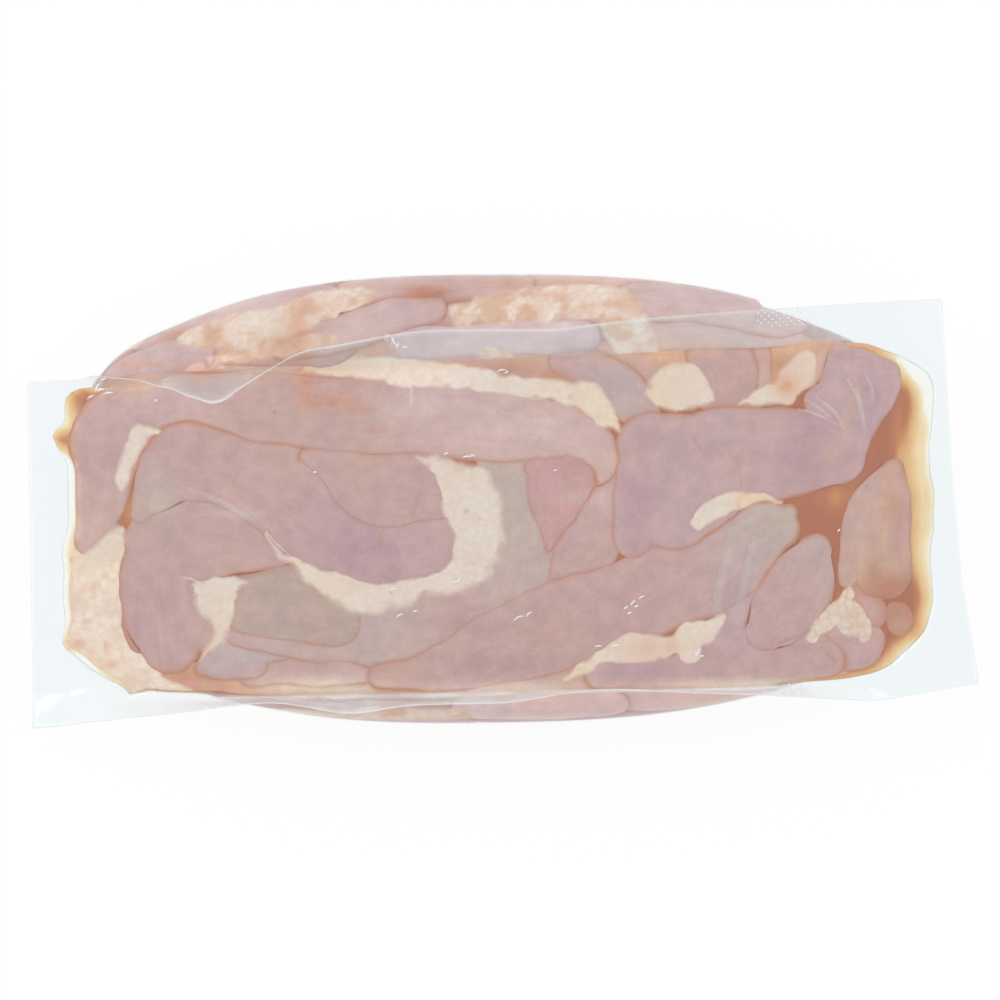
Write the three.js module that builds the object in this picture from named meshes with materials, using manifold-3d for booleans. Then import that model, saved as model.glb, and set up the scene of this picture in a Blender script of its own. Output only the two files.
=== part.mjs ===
// A clear vacuum pouch packed tight with folded beef intestines and their fat.
// It lies on its domed back with the flat pressed face up. Millimetres, +Z up.
// Places are given on the plan of the pressed face: x along the pouch, y across it.
import * as THREE from 'three';
import { mergeVertices } from 'three/addons/utils/BufferGeometryUtils.js';
import Module from 'manifold-3d';

// Driving dimensions of the pouch
const FACE_LEVEL = 40;            // height of the pressed face above the table
const BELLY_LEVEL = 17;           // height of the widest ring of the domed back
const FOOT_SHARE = 0.7;           // reach of the flat foot, as a share of the belly's reach
const SPINE_HALF = 76;            // half-length of the line that the cross-sections fan out from
const SPINE_Y = -3;
const SEAL_THICKNESS = 0.7;       // both plies of the sealed rim
const SHOULDER_LIP = 0.9;         // start of the belly below and outside the face edge
const SHOULDER_SLOPE = 24;        // degrees, the belly's slope where it leaves the face edge
const SHOULDER_RINGS = 7;
const DOME_RINGS = 6;
const RIM_STEP = 7.5;             // spacing of the cross-sections around the rim
const MIDDLE = { x: 0.5, y: 1.6 };   // middle of the whole outline on the plan

// Soft-cornered outlines: each edge's distance from the centre and its lean in degrees
const FACE = {
  centre: [-1, -6.5],
  edges: { right: [126, 1.7], top: [47.4, 2.75], left: [125.5, -1.1], bottom: [47.5, 1] },
  sharpness: 7,
};
const BELLY = {
  centre: [0, 1.6],
  edges: { right: [122, 0], top: [66.5, 0], left: [122, 0], bottom: [66.5, 1] },
  sharpness: 2.7,
};

// How far the sealed rim turns up along an edge: [x, degrees], 0 lies flat and 180 is folded over
const TOP_FOLD = [
  [-124, 20], [-105, 100], [-87, 134], [-67, 89], [-54, 58], [-33, 44], [10, 43], [75, 16], [127, 8],
];
const BOTTOM_FOLD = [
  [-130, 0], [-95, 46], [-65, 62], [-44, 10], [-25, 52], [0, 67], [40, 88], [80, 62], [115, 8],
];
const NO_FOLD = [[0, 0]];

// Corners of the film laid flat, counter-clockwise from the top right one, each with the fold of
// the edge that follows it. The top left corner is folded away, so that edge is cut short there.
const FILM = [
  { corner: [127.7, 59.5], fold: TOP_FOLD },
  { corner: [-98, 48], fold: TOP_FOLD },
  { corner: [-122, 36.2], fold: NO_FOLD },
  { corner: [-137.5, 35.6], fold: NO_FOLD },
  { corner: [-137.2, -65], fold: BOTTOM_FOLD },
  { corner: [110, -57], fold: BOTTOM_FOLD },
  { corner: [138.6, -52.5], fold: NO_FOLD },
];

// Loops of intestine pressed flat against the face: crown above the face, then [x, y, half-width]
const FACE_LOOPS = [
  { rise: 1.3, route: [[-118, -7, 6], [-118, 8, 6.5], [-114, 21, 7], [-104, 27.5, 6.5], [-90, 30, 5.5],
    [-74, 27.5, 8], [-52, 25.5, 9.5], [-25, 24.5, 10], [2, 22.5, 9.5], [20, 20.5, 8], [28, 13, 5]] },
  { rise: 1.2, route: [[-100, 6, 9], [-91, 11, 12], [-79, 11, 11.5], [-65, 4, 12.5], [-51, -7, 12.5],
    [-41, -14, 9.5]] },
  { rise: 1.0, route: [[-54, 12.5, 3], [-45, 9, 7], [-35, 5.5, 9], [-22, 4, 8.5]] },
  { rise: 0.9, route: [[-33, -13.5, 7], [-24, -13, 8.5], [-16, -12, 6.5]] },
  { rise: 1.1, route: [[-69, -11.5, 6], [-79, -9.5, 9.5], [-90, -11, 12], [-98, -20, 12], [-98, -32, 11],
    [-96, -40, 7.5]] },
  { rise: 1.05, route: [[-71, -29.5, 7], [-60, -29, 8.5], [-50, -32, 6.5]] },
  { rise: 0.95, route: [[-62, -39, 3], [-45, -37.5, 6.5], [-30, -38, 8], [-14, -34.5, 8.5], [1, -28, 8],
    [7, -14, 7], [4, 0, 6.5], [1, 8, 5]] },
  { rise: 1.0, route: [[-81, -43, 4], [-72, -42.5, 5], [-65, -43, 3.5]] },
  { rise: 0.85, route: [[-84, -48.5, 2.5], [-66, -48, 3.2], [-50, -47.5, 3.2], [-42, -48, 2.5]] },
  { rise: 0.6, route: [[14, 9, 8.5], [15, 2, 8], [15, -5, 5], [14, -10, 2.5]] },
  { rise: 0.75, route: [[27, 1, 5.5], [25, -7, 6.5], [20, -14, 6.5], [15, -19, 4]] },
  { rise: 1.25, route: [[98, 13, 7.5], [90, 15, 11], [79, 14.5, 12.5], [65, 13, 15], [52, 8, 18],
    [44, 5, 16]] },
  { rise: 1.3, route: [[104, 38, 7.5], [101, 32, 10.5], [101, 26, 7]] },
  { rise: 0.9, route: [[25, 36.5, 3.5], [34, 32.5, 5.5], [39, 28.5, 4.5]] },
  { rise: 0.8, route: [[63, 40, 5.5], [65, 37, 7.5], [66, 34, 5]] },
  { rise: 1.0, route: [[111, 8, 4], [107, 1, 6], [103.5, -8, 4.8], [101.5, -18, 3]] },
  { rise: 0.8, route: [[114, 6, 3.5], [114, -3, 4.5], [114.5, -11, 3.5]] },
  { rise: 1.15, route: [[80, -6, 6], [73, -12, 10], [61, -18.5, 11.5], [45, -25, 11.5], [28, -31, 11.5],
    [12, -37, 11.5], [-4, -43, 8.5], [-22, -48.5, 4.5]] },
  { rise: 1.2, route: [[89.5, -13, 5.5], [87.5, -20, 9], [83.5, -27, 10], [79, -33, 7.5]] },
  { rise: 0.8, route: [[34, -49, 2.2], [50, -48.5, 3], [61, -45, 5.5], [68, -38, 5]] },
  { rise: 0.9, route: [[72, -46.5, 4.5], [84, -44.5, 5.5], [91, -45, 4]] },
  { rise: 0.8, route: [[97, -41.5, 3.5], [102, -42.5, 4.5], [106, -40.5, 3]] },
  { rise: 0.7, route: [[114, -25, 3], [116.5, -30, 4.5], [116, -36, 3.5]] },
];

// Cream fat between the loops, lumpy along its length
const FACE_FAT = [
  { rise: 1.2, route: [[-54, 38.5, 1.5], [-44, 37.5, 2.6], [-28, 37.4, 3], [-13, 37, 3.2], [0, 35.2, 3],
    [14, 33, 2.8], [24, 31, 4], [30, 26.5, 3.2], [32.5, 22, 1.5]] },
  { rise: 1.45, route: [[-21, 12.6, 1.6], [-14, 8.5, 4.5], [-9.5, 1, 7.5], [-6.5, -9, 7], [-8.5, -18, 5.8],
    [-20, -24, 3.4], [-31, -27, 3.6], [-41, -27.2, 4], [-50, -23.5, 3.8], [-60, -18, 1.6]] },
  { rise: 1.25, route: [[-81, -23.5, 5.5], [-83.5, -28, 6.5], [-82, -34, 4], [-84, -40, 3],
    [-87, -44, 1.8]] },
  { rise: 1.2, route: [[-116, -14, 4.5], [-118.5, -22, 7.5], [-118.5, -33, 8], [-116, -41, 7.5],
    [-109, -47, 5]] },
  { rise: 1.35, route: [[-105.5, 20.5, 3], [-107.5, 15, 2.5], [-110, 9.5, 2.8], [-111.5, 5, 1.6]] },
  { rise: 1.45, route: [[57.5, -5, 2.2], [61.5, -1.6, 3.3], [67, -0.6, 3.6], [74, 0.8, 1.8],
    [80, 1.2, 1.1]] },
  { rise: 1.3, route: [[20, -49, 1.2], [29, -45, 2.4], [36, -42.5, 4], [43, -41.5, 4.3], [49, -40.5, 3],
    [55, -40, 5], [61, -35.5, 2.4], [64.5, -32.5, 1.3]] },
  { rise: 1.3, route: [[100, -26.5, 2.4], [98, -31.5, 3.6], [101, -35, 4.2], [103.5, -38, 2.4]] },
  { rise: 1.2, route: [[96, -33.5, 2.4], [91.5, -36.5, 2.8], [89.8, -38.8, 1.8]] },
  { rise: 1.1, route: [[46, 33, 4.2], [50.5, 35, 5.6], [55.5, 32.5, 3.4]] },
  { rise: 1.1, route: [[71, 30.3, 1.4], [76, 31.2, 2.4], [82, 33, 4], [85.5, 37, 3.6]] },
];

// Loops pressed against the domed back, in staggered rows down from the face edge
const BACK_ROWS = [
  { drop: 13, count: 7 },
  { drop: 31, count: 8 },
  { drop: 49, count: 7 },
];
const BACK_HALF_WIDTH = 10;
const BACK_RISE = 2;
const BACK_WANDER = 4;            // how far a loop strays from its row
const BACK_SHARE = 0.84;          // share of its place in the row that a loop fills
const GIRTH_RADIUS = 60;          // nominal round of the two ends, to share the girth out
const SEED = 7;

// Section of a pressed loop
const LOOP_SKIRT = 0.8;           // depth of the loop's own edge below the surface
const LOOP_BURIED = 1.0;          // further depth of the hidden keel
const CROWN_POINTS = 4;
const LOOP_STEP = 9;
const FAT_STEP = 4.6;
const FAT_LUMPS = 0.22;           // share by which the fat swells and narrows
const LEAST_HALF_WIDTH = 0.8;
const ROUND_END = [[0.62, 0.35], [0.38, 0.78]];   // overhang and width, as shares of the half-width
const WELD = 1e-3;                // points closer than this are one

const wasm = await Module();
wasm.setup();

// Repeatable random numbers from 0 to 1
let randomState = SEED;
function random() {
  randomState = (randomState * 16807) % 2147483647;
  return randomState / 2147483647;
}

const radians = THREE.MathUtils.degToRad;

// Smooth value at x on a list of [x, value] knots
function knotValue(knots, x) {
  if (x <= knots[0][0]) return knots[0][1];
  for (let k = 1; k < knots.length; k += 1) {
    const [x1, value1] = knots[k];
    const [x0, value0] = knots[k - 1];
    if (x <= x1) return THREE.MathUtils.lerp(value0, value1, THREE.MathUtils.smoothstep(x, x0, x1));
  }
  return knots[knots.length - 1][1];
}

// Value of a soft-cornered outline at a point: below 1 inside, 1 on the outline
function outlineValue({ centre, edges, sharpness }, x, y) {
  const facing = { right: 0, top: 90, left: 180, bottom: 270 };
  let sum = 0;
  for (const [side, [distance, lean]] of Object.entries(edges)) {
    const angle = radians(facing[side] + lean);
    const along = ((x - centre[0]) * Math.cos(angle) + (y - centre[1]) * Math.sin(angle)) / distance;
    sum += Math.max(along, 0) ** sharpness;
  }
  return sum ** (1 / sharpness);
}

// A spoke runs level from the spine towards a point of the plan
function spokeToward(x, y) {
  const baseX = THREE.MathUtils.clamp(x, -SPINE_HALF, SPINE_HALF);
  const direction = new THREE.Vector2(x - baseX, y - SPINE_Y);
  const length = direction.length();
  return { baseX, direction: direction.normalize(), length };
}

// Distance along a spoke to an outline, by halving
function reach(outline, { baseX, direction }) {
  let inside = 0;
  let outside = 250;
  for (let turn = 0; turn < 40; turn += 1) {
    const r = (inside + outside) / 2;
    if (outlineValue(outline, baseX + r * direction.x, SPINE_Y + r * direction.y) < 1) inside = r;
    else outside = r;
  }
  return inside;
}

function pointOnSpoke({ baseX, direction }, r, z) {
  return new THREE.Vector3(baseX + r * direction.x, SPINE_Y + r * direction.y, z);
}

// Distance of a spoke around the girth, counter-clockwise from the right end of the top side
function girthOf({ baseX, direction }) {
  const straight = 2 * SPINE_HALF;
  const bend = Math.PI * GIRTH_RADIUS;
  const angle = THREE.MathUtils.euclideanModulo(Math.atan2(direction.y, direction.x), 2 * Math.PI);
  if (direction.y > 0.9999) return SPINE_HALF - baseX;
  if (direction.y < -0.9999) return straight + bend + baseX + SPINE_HALF;
  if (direction.x < 0) return straight + (angle - Math.PI / 2) * GIRTH_RADIUS;
  const past = THREE.MathUtils.euclideanModulo(angle + Math.PI / 2, 2 * Math.PI);
  return 2 * straight + bend + past * GIRTH_RADIUS;
}

// Seeded loops over the back: each row shares the girth out and wanders up and down
const GIRTH = 2 * (2 * SPINE_HALF + Math.PI * GIRTH_RADIUS);
const backLoops = BACK_ROWS.flatMap(({ drop, count }, row) => {
  const pitch = GIRTH / count;
  return Array.from({ length: count }, (_, place) => ({
    start: (place + row / 2 + 0.3 * random()) * pitch,
    length: pitch * BACK_SHARE,
    drops: [0, 1, 2].map(() => drop + BACK_WANDER * (2 * random() - 1)),
    rise: BACK_RISE * (0.6 + 0.4 * random()),
  }));
});

// Height of the loops above the side of the pouch, at a distance around it and down it
function backRelief(girth, drop) {
  let height = 0;
  for (const { start, length, drops, rise } of backLoops) {
    const along = THREE.MathUtils.euclideanModulo(girth - start + GIRTH / 2, GIRTH) - GIRTH / 2;
    const share = THREE.MathUtils.clamp(along / length, 0, 1);
    const middle = knotValue([[0, drops[0]], [0.5, drops[1]], [1, drops[2]]], share);
    const away = Math.hypot(along - share * length, drop - middle) / BACK_HALF_WIDTH;
    height = Math.max(height, rise * Math.sqrt(Math.max(0, 1 - away * away)));
  }
  return height;
}

// Side of the pouch on one spoke, from below the face edge down to the foot: pairs of reach and height
function sideProfile(spoke) {
  const face = reach(FACE, spoke);
  const belly = reach(BELLY, spoke);
  const foot = belly * FOOT_SHARE;
  const startReach = face + (belly > face ? SHOULDER_LIP : 0);
  const startLevel = FACE_LEVEL - SHOULDER_LIP;
  const slope = radians(SHOULDER_SLOPE);
  const points = [];
  for (let k = 0; k <= SHOULDER_RINGS; k += 1) {
    const angle = THREE.MathUtils.lerp(slope, Math.PI / 2, k / SHOULDER_RINGS);
    const out = (Math.sin(angle) - Math.sin(slope)) / (1 - Math.sin(slope));
    const up = Math.cos(angle) / Math.cos(slope);
    points.push([startReach + (belly - startReach) * out, BELLY_LEVEL + (startLevel - BELLY_LEVEL) * up]);
  }
  for (let k = 1; k <= DOME_RINGS; k += 1) {
    const angle = (k / DOME_RINGS) * (Math.PI / 2);
    points.push([foot + (belly - foot) * Math.cos(angle), BELLY_LEVEL * (1 - Math.sin(angle))]);
  }
  return liftedProfile(points, girthOf(spoke));
}

// The same side with the pressed loops standing out of it, square to the side, between its two ends
function liftedProfile(points, girth) {
  let drop = 0;
  return points.map(([r, z], k) => {
    if (k === 0 || k === points.length - 1) return [r, z];
    const [before, after] = [points[k - 1], points[k + 1]];
    const slope = Math.hypot(after[0] - before[0], after[1] - before[1]);
    drop += Math.hypot(r - before[0], z - before[1]);
    const height = backRelief(girth, drop) * Math.min(1, z / BACK_HALF_WIDTH);
    return [r - ((after[1] - before[1]) / slope) * height, z + ((after[0] - before[0]) / slope) * height];
  });
}

// Points along the film's edge, every corner among them, with the fold in radians
function rimPoints() {
  const points = [];
  FILM.forEach(({ corner: [x0, y0], fold }, place) => {
    const [x1, y1] = FILM[(place + 1) % FILM.length].corner;
    const steps = Math.max(1, Math.round(Math.hypot(x1 - x0, y1 - y0) / RIM_STEP));
    for (let k = 0; k < steps; k += 1) {
      const x = THREE.MathUtils.lerp(x0, x1, k / steps);
      const y = THREE.MathUtils.lerp(y0, y1, k / steps);
      points.push([x, y, radians(knotValue(fold, x))]);
    }
  });
  return points;
}

// One cross-section: face edge, free edge of the rim, its underside, then the side down to the foot
function crossSection([x, y, fold]) {
  const spoke = spokeToward(x, y);
  const face = reach(FACE, spoke);
  const width = spoke.length - face;
  const edge = [face + width * Math.cos(fold), FACE_LEVEL + width * Math.sin(fold)];
  const through = [SEAL_THICKNESS * Math.sin(fold), -SEAL_THICKNESS * Math.cos(fold)];
  const profile = [
    [face, FACE_LEVEL],
    edge,
    [edge[0] + through[0], edge[1] + through[1]],
    [face + through[0], FACE_LEVEL + through[1]],
    ...sideProfile(spoke),
  ];
  return profile.map(([r, z]) => pointOnSpoke(spoke, r, z));
}

// Closed solid from points and triangles, turned to face out
function solidFrom(points, triangles) {
  let geometry = new THREE.BufferGeometry();
  const numbers = points.flatMap((point) => point.toArray());
  geometry.setAttribute('position', new THREE.Float32BufferAttribute(numbers, 3));
  geometry.setIndex(triangles.flat());
  geometry = mergeVertices(geometry, WELD);
  const index = geometry.index.array;
  const position = geometry.attributes.position.array;
  const kept = [];
  let volume = 0;
  const corners = [new THREE.Vector3(), new THREE.Vector3(), new THREE.Vector3()];
  for (let t = 0; t < index.length; t += 3) {
    const [a, b, c] = [index[t], index[t + 1], index[t + 2]];
    if (a === b || b === c || c === a) continue;
    kept.push(a, b, c);
    [a, b, c].forEach((vertex, k) => corners[k].fromArray(position, vertex * 3));
    volume += corners[0].dot(corners[1].clone().cross(corners[2]));
  }
  if (volume < 0) kept.reverse();
  const mesh = new wasm.Mesh({
    numProp: 3, vertProperties: new Float32Array(position), triVerts: new Uint32Array(kept),
  });
  return new wasm.Manifold(mesh);
}

// The pouch without its loops: rings of cross-sections closed by the face and the foot
function pouchSolid() {
  const sections = rimPoints().map(crossSection);
  const around = sections.length;
  const rings = sections[0].length;
  const points = sections.flat();
  const triangles = [];
  for (let j = 0; j < around; j += 1) {
    const next = (j + 1) % around;
    for (let i = 0; i + 1 < rings; i += 1) {
      const [a, b] = [j * rings + i, j * rings + i + 1];
      const [c, d] = [next * rings + i, next * rings + i + 1];
      triangles.push([a, b, d], [a, d, c]);
    }
  }
  const flatten = (ring) => sections.map((section) => new THREE.Vector2(section[ring].x, section[ring].y));
  for (const [a, b, c] of THREE.ShapeUtils.triangulateShape(flatten(0), [])) {
    triangles.push([a * rings, b * rings, c * rings]);
  }
  const last = rings - 1;
  for (const [a, b, c] of THREE.ShapeUtils.triangulateShape(flatten(last), [])) {
    triangles.push([c * rings + last, b * rings + last, a * rings + last]);
  }
  return solidFrom(points, triangles);
}

// A pressed loop: stations along its route with rounded ends, each a low crown over a buried keel.
// place(x, y, height) lays a point of the route's own plan on the pouch.
function loopSolid({ rise, route }, place, step, lumps) {
  const knots = route.map((knot) => new THREE.Vector3(...knot));
  const curve = new THREE.CatmullRomCurve3(knots, false, 'centripetal');
  const count = Math.max(3, Math.round(curve.getLength() / step));
  const stations = [];
  const pushStation = (u, along, share) => {
    const at = curve.getPoint(u);
    const heading = curve.getTangent(u).setZ(0).normalize();
    const swell = 1 + lumps * (2 * random() - 1);
    const width = Math.max(at.z, LEAST_HALF_WIDTH) * share;
    at.addScaledVector(heading, along);
    stations.push({ at, heading, width: width * swell, crown: rise * (1 + lumps * random()) });
  };
  for (const [along, share] of ROUND_END) pushStation(0, -along * route[0][2], share);
  for (let k = 0; k <= count; k += 1) pushStation(k / count, 0, 1);
  const lastWidth = route[route.length - 1][2];
  for (const [along, share] of ROUND_END.toReversed()) pushStation(1, along * lastWidth, share);

  const points = [];
  for (const { at, heading, width, crown } of stations) {
    for (let k = 0; k <= CROWN_POINTS; k += 1) {
      const angle = Math.PI * (k / CROWN_POINTS);
      const side = width * Math.cos(angle);
      const height = (crown + LOOP_SKIRT) * Math.sin(angle) - LOOP_SKIRT;
      points.push(place(at.x - heading.y * side, at.y + heading.x * side, height));
    }
    points.push(place(at.x, at.y, -LOOP_SKIRT - LOOP_BURIED));
  }
  const size = CROWN_POINTS + 2;
  const triangles = [];
  for (let s = 0; s + 1 < stations.length; s += 1) {
    for (let k = 0; k < size; k += 1) {
      const [a, b] = [s * size + k, s * size + ((k + 1) % size)];
      triangles.push([a, b, b + size], [a, b + size, a + size]);
    }
  }
  for (const end of [0, stations.length - 1]) {
    for (let k = 1; k + 1 < size; k += 1) {
      const fan = [end * size, end * size + k, end * size + k + 1];
      triangles.push(end === 0 ? fan.reverse() : fan);
    }
  }
  return solidFrom(points, triangles);
}

const onFace = (x, y, height) => new THREE.Vector3(x, y, FACE_LEVEL + height);

// The whole pack as one body
function packGeometry() {
  let pack = pouchSolid();
  for (const loop of FACE_LOOPS) pack = pack.add(loopSolid(loop, onFace, LOOP_STEP, 0));
  for (const fat of FACE_FAT) pack = pack.add(loopSolid(fat, onFace, FAT_STEP, FAT_LUMPS));
  const mesh = pack.getMesh();
  const geometry = new THREE.BufferGeometry();
  geometry.setAttribute('position', new THREE.BufferAttribute(mesh.vertProperties, 3));
  geometry.setIndex(new THREE.BufferAttribute(mesh.triVerts, 1));
  geometry.computeVertexNormals();
  return geometry;
}

const packMaterial = new THREE.MeshStandardMaterial({ color: 0xc4a8a3, roughness: 0.25, metalness: 0 });
const vacuumPack = new THREE.Mesh(packGeometry(), packMaterial);
vacuumPack.name = 'vacuum_pack';
vacuumPack.position.set(-MIDDLE.x, -MIDDLE.y, 0);

const model = new THREE.Group();
model.add(vacuumPack);

export default model;
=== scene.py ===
# %% [markdown]
# # A vacuum pack of beef intestines
# The real object is a clear plastic pouch, sealed all round, with cooked and folded intestine pulled
# tight inside it by a vacuum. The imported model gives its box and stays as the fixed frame. Everything
# below is laid on the same pouch form, so that film, loops, fat and juice meet without any fitting.

# %% Load the frame
import math

import bmesh
import bpy
import numpy as np
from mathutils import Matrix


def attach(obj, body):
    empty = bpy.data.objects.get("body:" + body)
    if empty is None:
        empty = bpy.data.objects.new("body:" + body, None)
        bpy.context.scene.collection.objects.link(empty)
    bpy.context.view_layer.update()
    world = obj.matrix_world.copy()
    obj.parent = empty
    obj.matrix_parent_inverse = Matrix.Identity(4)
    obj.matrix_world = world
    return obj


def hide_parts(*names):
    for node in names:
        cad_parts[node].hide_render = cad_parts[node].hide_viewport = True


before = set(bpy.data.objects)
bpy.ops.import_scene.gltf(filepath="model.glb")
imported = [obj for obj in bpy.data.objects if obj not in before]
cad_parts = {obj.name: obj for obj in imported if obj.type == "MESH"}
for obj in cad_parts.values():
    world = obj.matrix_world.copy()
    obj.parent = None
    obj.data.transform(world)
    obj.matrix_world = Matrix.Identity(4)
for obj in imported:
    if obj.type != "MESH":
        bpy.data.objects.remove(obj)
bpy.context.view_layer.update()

MM = 0.001

# %% [markdown]
# ## The form of the pouch
# The pressed face and the widest ring of the belly are soft-cornered quadrilaterals. One could model
# them by hand, but then each loop of intestine would have to be fitted by eye. A formula that says how
# far a point lies from the edge lets every later piece ask where the surface is. Each edge has its
# distance from the centre in millimetres and the direction that it faces in degrees.

# %% Outlines of the face and the belly
MIDDLE = np.array([0.5, 1.6, 0.0])
FACE_LEVEL = 40.0
BELLY_LEVEL = 17.0
FOOT_SHARE = 0.7
SPINE_HALF = 76.0
SPINE_Y = -3.0
FACE = {
    "centre": (-1.0, -6.5),
    "edges": ((126.0, 1.7), (47.4, 92.75), (125.5, 178.9), (47.5, 271.0)),
    "sharpness": 7.0,
}
BELLY = {
    "centre": (0.0, 1.6),
    "edges": ((122.0, 0.0), (65.5, 90.0), (122.0, 180.0), (65.4, 271.0)),
    "sharpness": 2.7,
}
FARTHEST = 250.0
HALVINGS = 36


def outline_value(outline, x, y):
    """Below 1 inside a soft-cornered outline, 1 on it, above 1 outside."""
    total = 0.0
    for distance, facing in outline["edges"]:
        angle = math.radians(facing)
        away = (x - outline["centre"][0]) * math.cos(angle) + (y - outline["centre"][1]) * math.sin(angle)
        total = total + np.maximum(away / distance, 0.0) ** outline["sharpness"]
    return total ** (1.0 / outline["sharpness"])


def reach(outline, base_x, direction):
    """Distance from the spine to an outline along each spoke, by halving."""
    inside = np.zeros(len(base_x))
    outside = np.full(len(base_x), FARTHEST)
    for _ in range(HALVINGS):
        middle = (inside + outside) / 2
        x, y = base_x + middle * direction[:, 0], SPINE_Y + middle * direction[:, 1]
        value = outline_value(outline, x, y)
        inside = np.where(value < 1, middle, inside)
        outside = np.where(value < 1, outside, middle)
    return inside


print("face value at the middle and past the right end:",
      round(float(outline_value(FACE, 0.0, 0.0)), 2), round(float(outline_value(FACE, 130.0, 0.0)), 2))

# %% [markdown]
# ## Uneven numbers
# Nothing in food is even. Two small patterns give all the unevenness of the meshes: a soft noise that
# drifts between random heights on a grid, and a scatter of centres whose nearest distance makes the
# rounded lobules of fat. Both are seeded, so each run gives the same pack.

# %% Soft noise and lobules
NOISE_CELLS = 64


def eased(share):
    """A share from 0 to 1 that starts and ends slowly."""
    return share * share * (3 - 2 * share)


def soft_noise(x, y, size, seed):
    """Smooth noise from -1 to 1 with features of a size in millimetres."""
    heights = np.random.default_rng(seed).random((NOISE_CELLS, NOISE_CELLS))
    u, v = x / size, y / size
    i, j = np.floor(u).astype(int), np.floor(v).astype(int)
    f, g = eased(u - i), eased(v - j)
    i0, i1, j0, j1 = i % NOISE_CELLS, (i + 1) % NOISE_CELLS, j % NOISE_CELLS, (j + 1) % NOISE_CELLS
    near = heights[i0, j0] * (1 - f) + heights[i1, j0] * f
    far = heights[i0, j1] * (1 - f) + heights[i1, j1] * f
    return 2 * (near * (1 - g) + far * g) - 1


def layered(x, y, layers):
    """Soft noises added up; each layer has its size, its height and its seed."""
    return sum(height * soft_noise(x, y, size, seed) for size, height, seed in layers)


def lobules(x, y, size, seed):
    """Distance to the nearest scattered centre and lead over the second, as shares of the size."""
    jitter = np.random.default_rng(seed).random((NOISE_CELLS, NOISE_CELLS, 2))
    u, v = x / size, y / size
    i, j = np.floor(u).astype(int), np.floor(v).astype(int)
    nearest, second = np.full(np.shape(u), np.inf), np.full(np.shape(u), np.inf)
    for a in (-1, 0, 1):
        for b in (-1, 0, 1):
            offset = jitter[(i + a) % NOISE_CELLS, (j + b) % NOISE_CELLS]
            away = np.hypot(u - i - a - offset[..., 0], v - j - b - offset[..., 1])
            second = np.minimum(second, np.maximum(nearest, away))
            nearest = np.minimum(nearest, away)
    return nearest, second - nearest


print("noise check:", soft_noise(np.array([3.0]), np.array([4.0]), 5.0, 1).round(3)[0])

# %% [markdown]
# ## Spokes around the pouch
# A long pouch is awkward to loft from one centre. Spokes that fan out from a line, its spine, spread
# evenly over both the straight sides and the round ends. The number of a spoke is also a handy measure
# around the girth, because neighbours are about a millimetre apart.

# %% Spokes and their reach
SIDE_SPOKES = 152
END_SPOKES = 160
SPOKES = 2 * (SIDE_SPOKES + END_SPOKES)
# Each swell has its place, its height and its width in spokes
SWELLS = ((-115.0, 38.0, 4.5, 16.0), (78.0, 56.0, -1.6, 22.0))

side_x = np.linspace(SPINE_HALF, -SPINE_HALF, SIDE_SPOKES, endpoint=False)
end_turn = np.linspace(0.5 * math.pi, 1.5 * math.pi, END_SPOKES, endpoint=False)
spoke_x = np.concatenate([
    side_x, np.full(END_SPOKES, -SPINE_HALF), -side_x, np.full(END_SPOKES, SPINE_HALF)])
spoke_angle = np.concatenate([
    np.full(SIDE_SPOKES, 0.5 * math.pi), end_turn, np.full(SIDE_SPOKES, 1.5 * math.pi), end_turn + math.pi])
spoke_way = np.stack([np.cos(spoke_angle), np.sin(spoke_angle)], axis=1)
spoke_number = np.arange(SPOKES, dtype=float)
belly_reach = reach(BELLY, spoke_x, spoke_way)


def around(values, number):
    """Value of a ring of spokes at any, also fractional, spoke number."""
    number = np.mod(number, SPOKES)
    low = np.floor(number).astype(int) % SPOKES
    share = number - np.floor(number)
    return values[low] * (1 - share) + values[(low + 1) % SPOKES] * share


def spoke_toward(x, y):
    """Base on the spine, direction, length and number of the spoke through points of the plan."""
    base = np.clip(x, -SPINE_HALF, SPINE_HALF)
    away_x, away_y = x - base, y - SPINE_Y
    length = np.maximum(np.hypot(away_x, away_y), 1e-6)
    angle = np.mod(np.arctan2(away_y, away_x), 2 * math.pi)
    per_turn = END_SPOKES / math.pi
    straight = np.where(away_y > 0, SPINE_HALF - x, SIDE_SPOKES + END_SPOKES + SPINE_HALF + x)
    left = SIDE_SPOKES + (angle - 0.5 * math.pi) * per_turn
    right = 2 * SIDE_SPOKES + END_SPOKES + np.mod(angle + 0.5 * math.pi, 2 * math.pi) * per_turn
    number = np.where(x < -SPINE_HALF, left, np.where(x > SPINE_HALF, right, straight))
    return base, away_x / length, away_y / length, length, number


def bulge(x, y, height, width):
    """Change of an outline's reach around the spoke through a place, some spokes wide."""
    *_, middle = spoke_toward(np.array(x), np.array(y))
    return height * np.exp(-((spoke_number - middle) / width) ** 2)


# The belly swells at its upper left shoulder and is slacker at its upper right one
for swell in SWELLS:
    belly_reach += bulge(*swell)
print("spokes:", SPOKES, "longest reach of the belly:", round(float(belly_reach.max()), 1), "mm")

# %% Cut corners and uneven ends of the face
# Each cut corner has its distance from the plan's origin and the direction that it faces
CUT_CORNERS = ((121.0, 37.4), (116.4, 228.0), (114.0, 315.0))
SOFTEN = 2.0
# Each spur that juts out of the outline has its place, its height and its width in spokes
SPURS = ((-124.0, 31.0, 7.5, 7.0), (-126.0, 18.0, 5.5, 3.6), (-125.0, -39.0, 2.0, 2.5),
         (-108.0, -56.0, 2.0, 2.0), (122.0, 36.0, 3.5, 8.0), (102.0, 46.0, 3.4, 13.0))
# Each unevenness of the ends has its size and its height
END_UNEVEN = ((9.0, 0.8), (4.0, 0.4))
END_SEED = 5
LEFT_GAP = 1.6
RIGHT_GAP = 4.3

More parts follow.
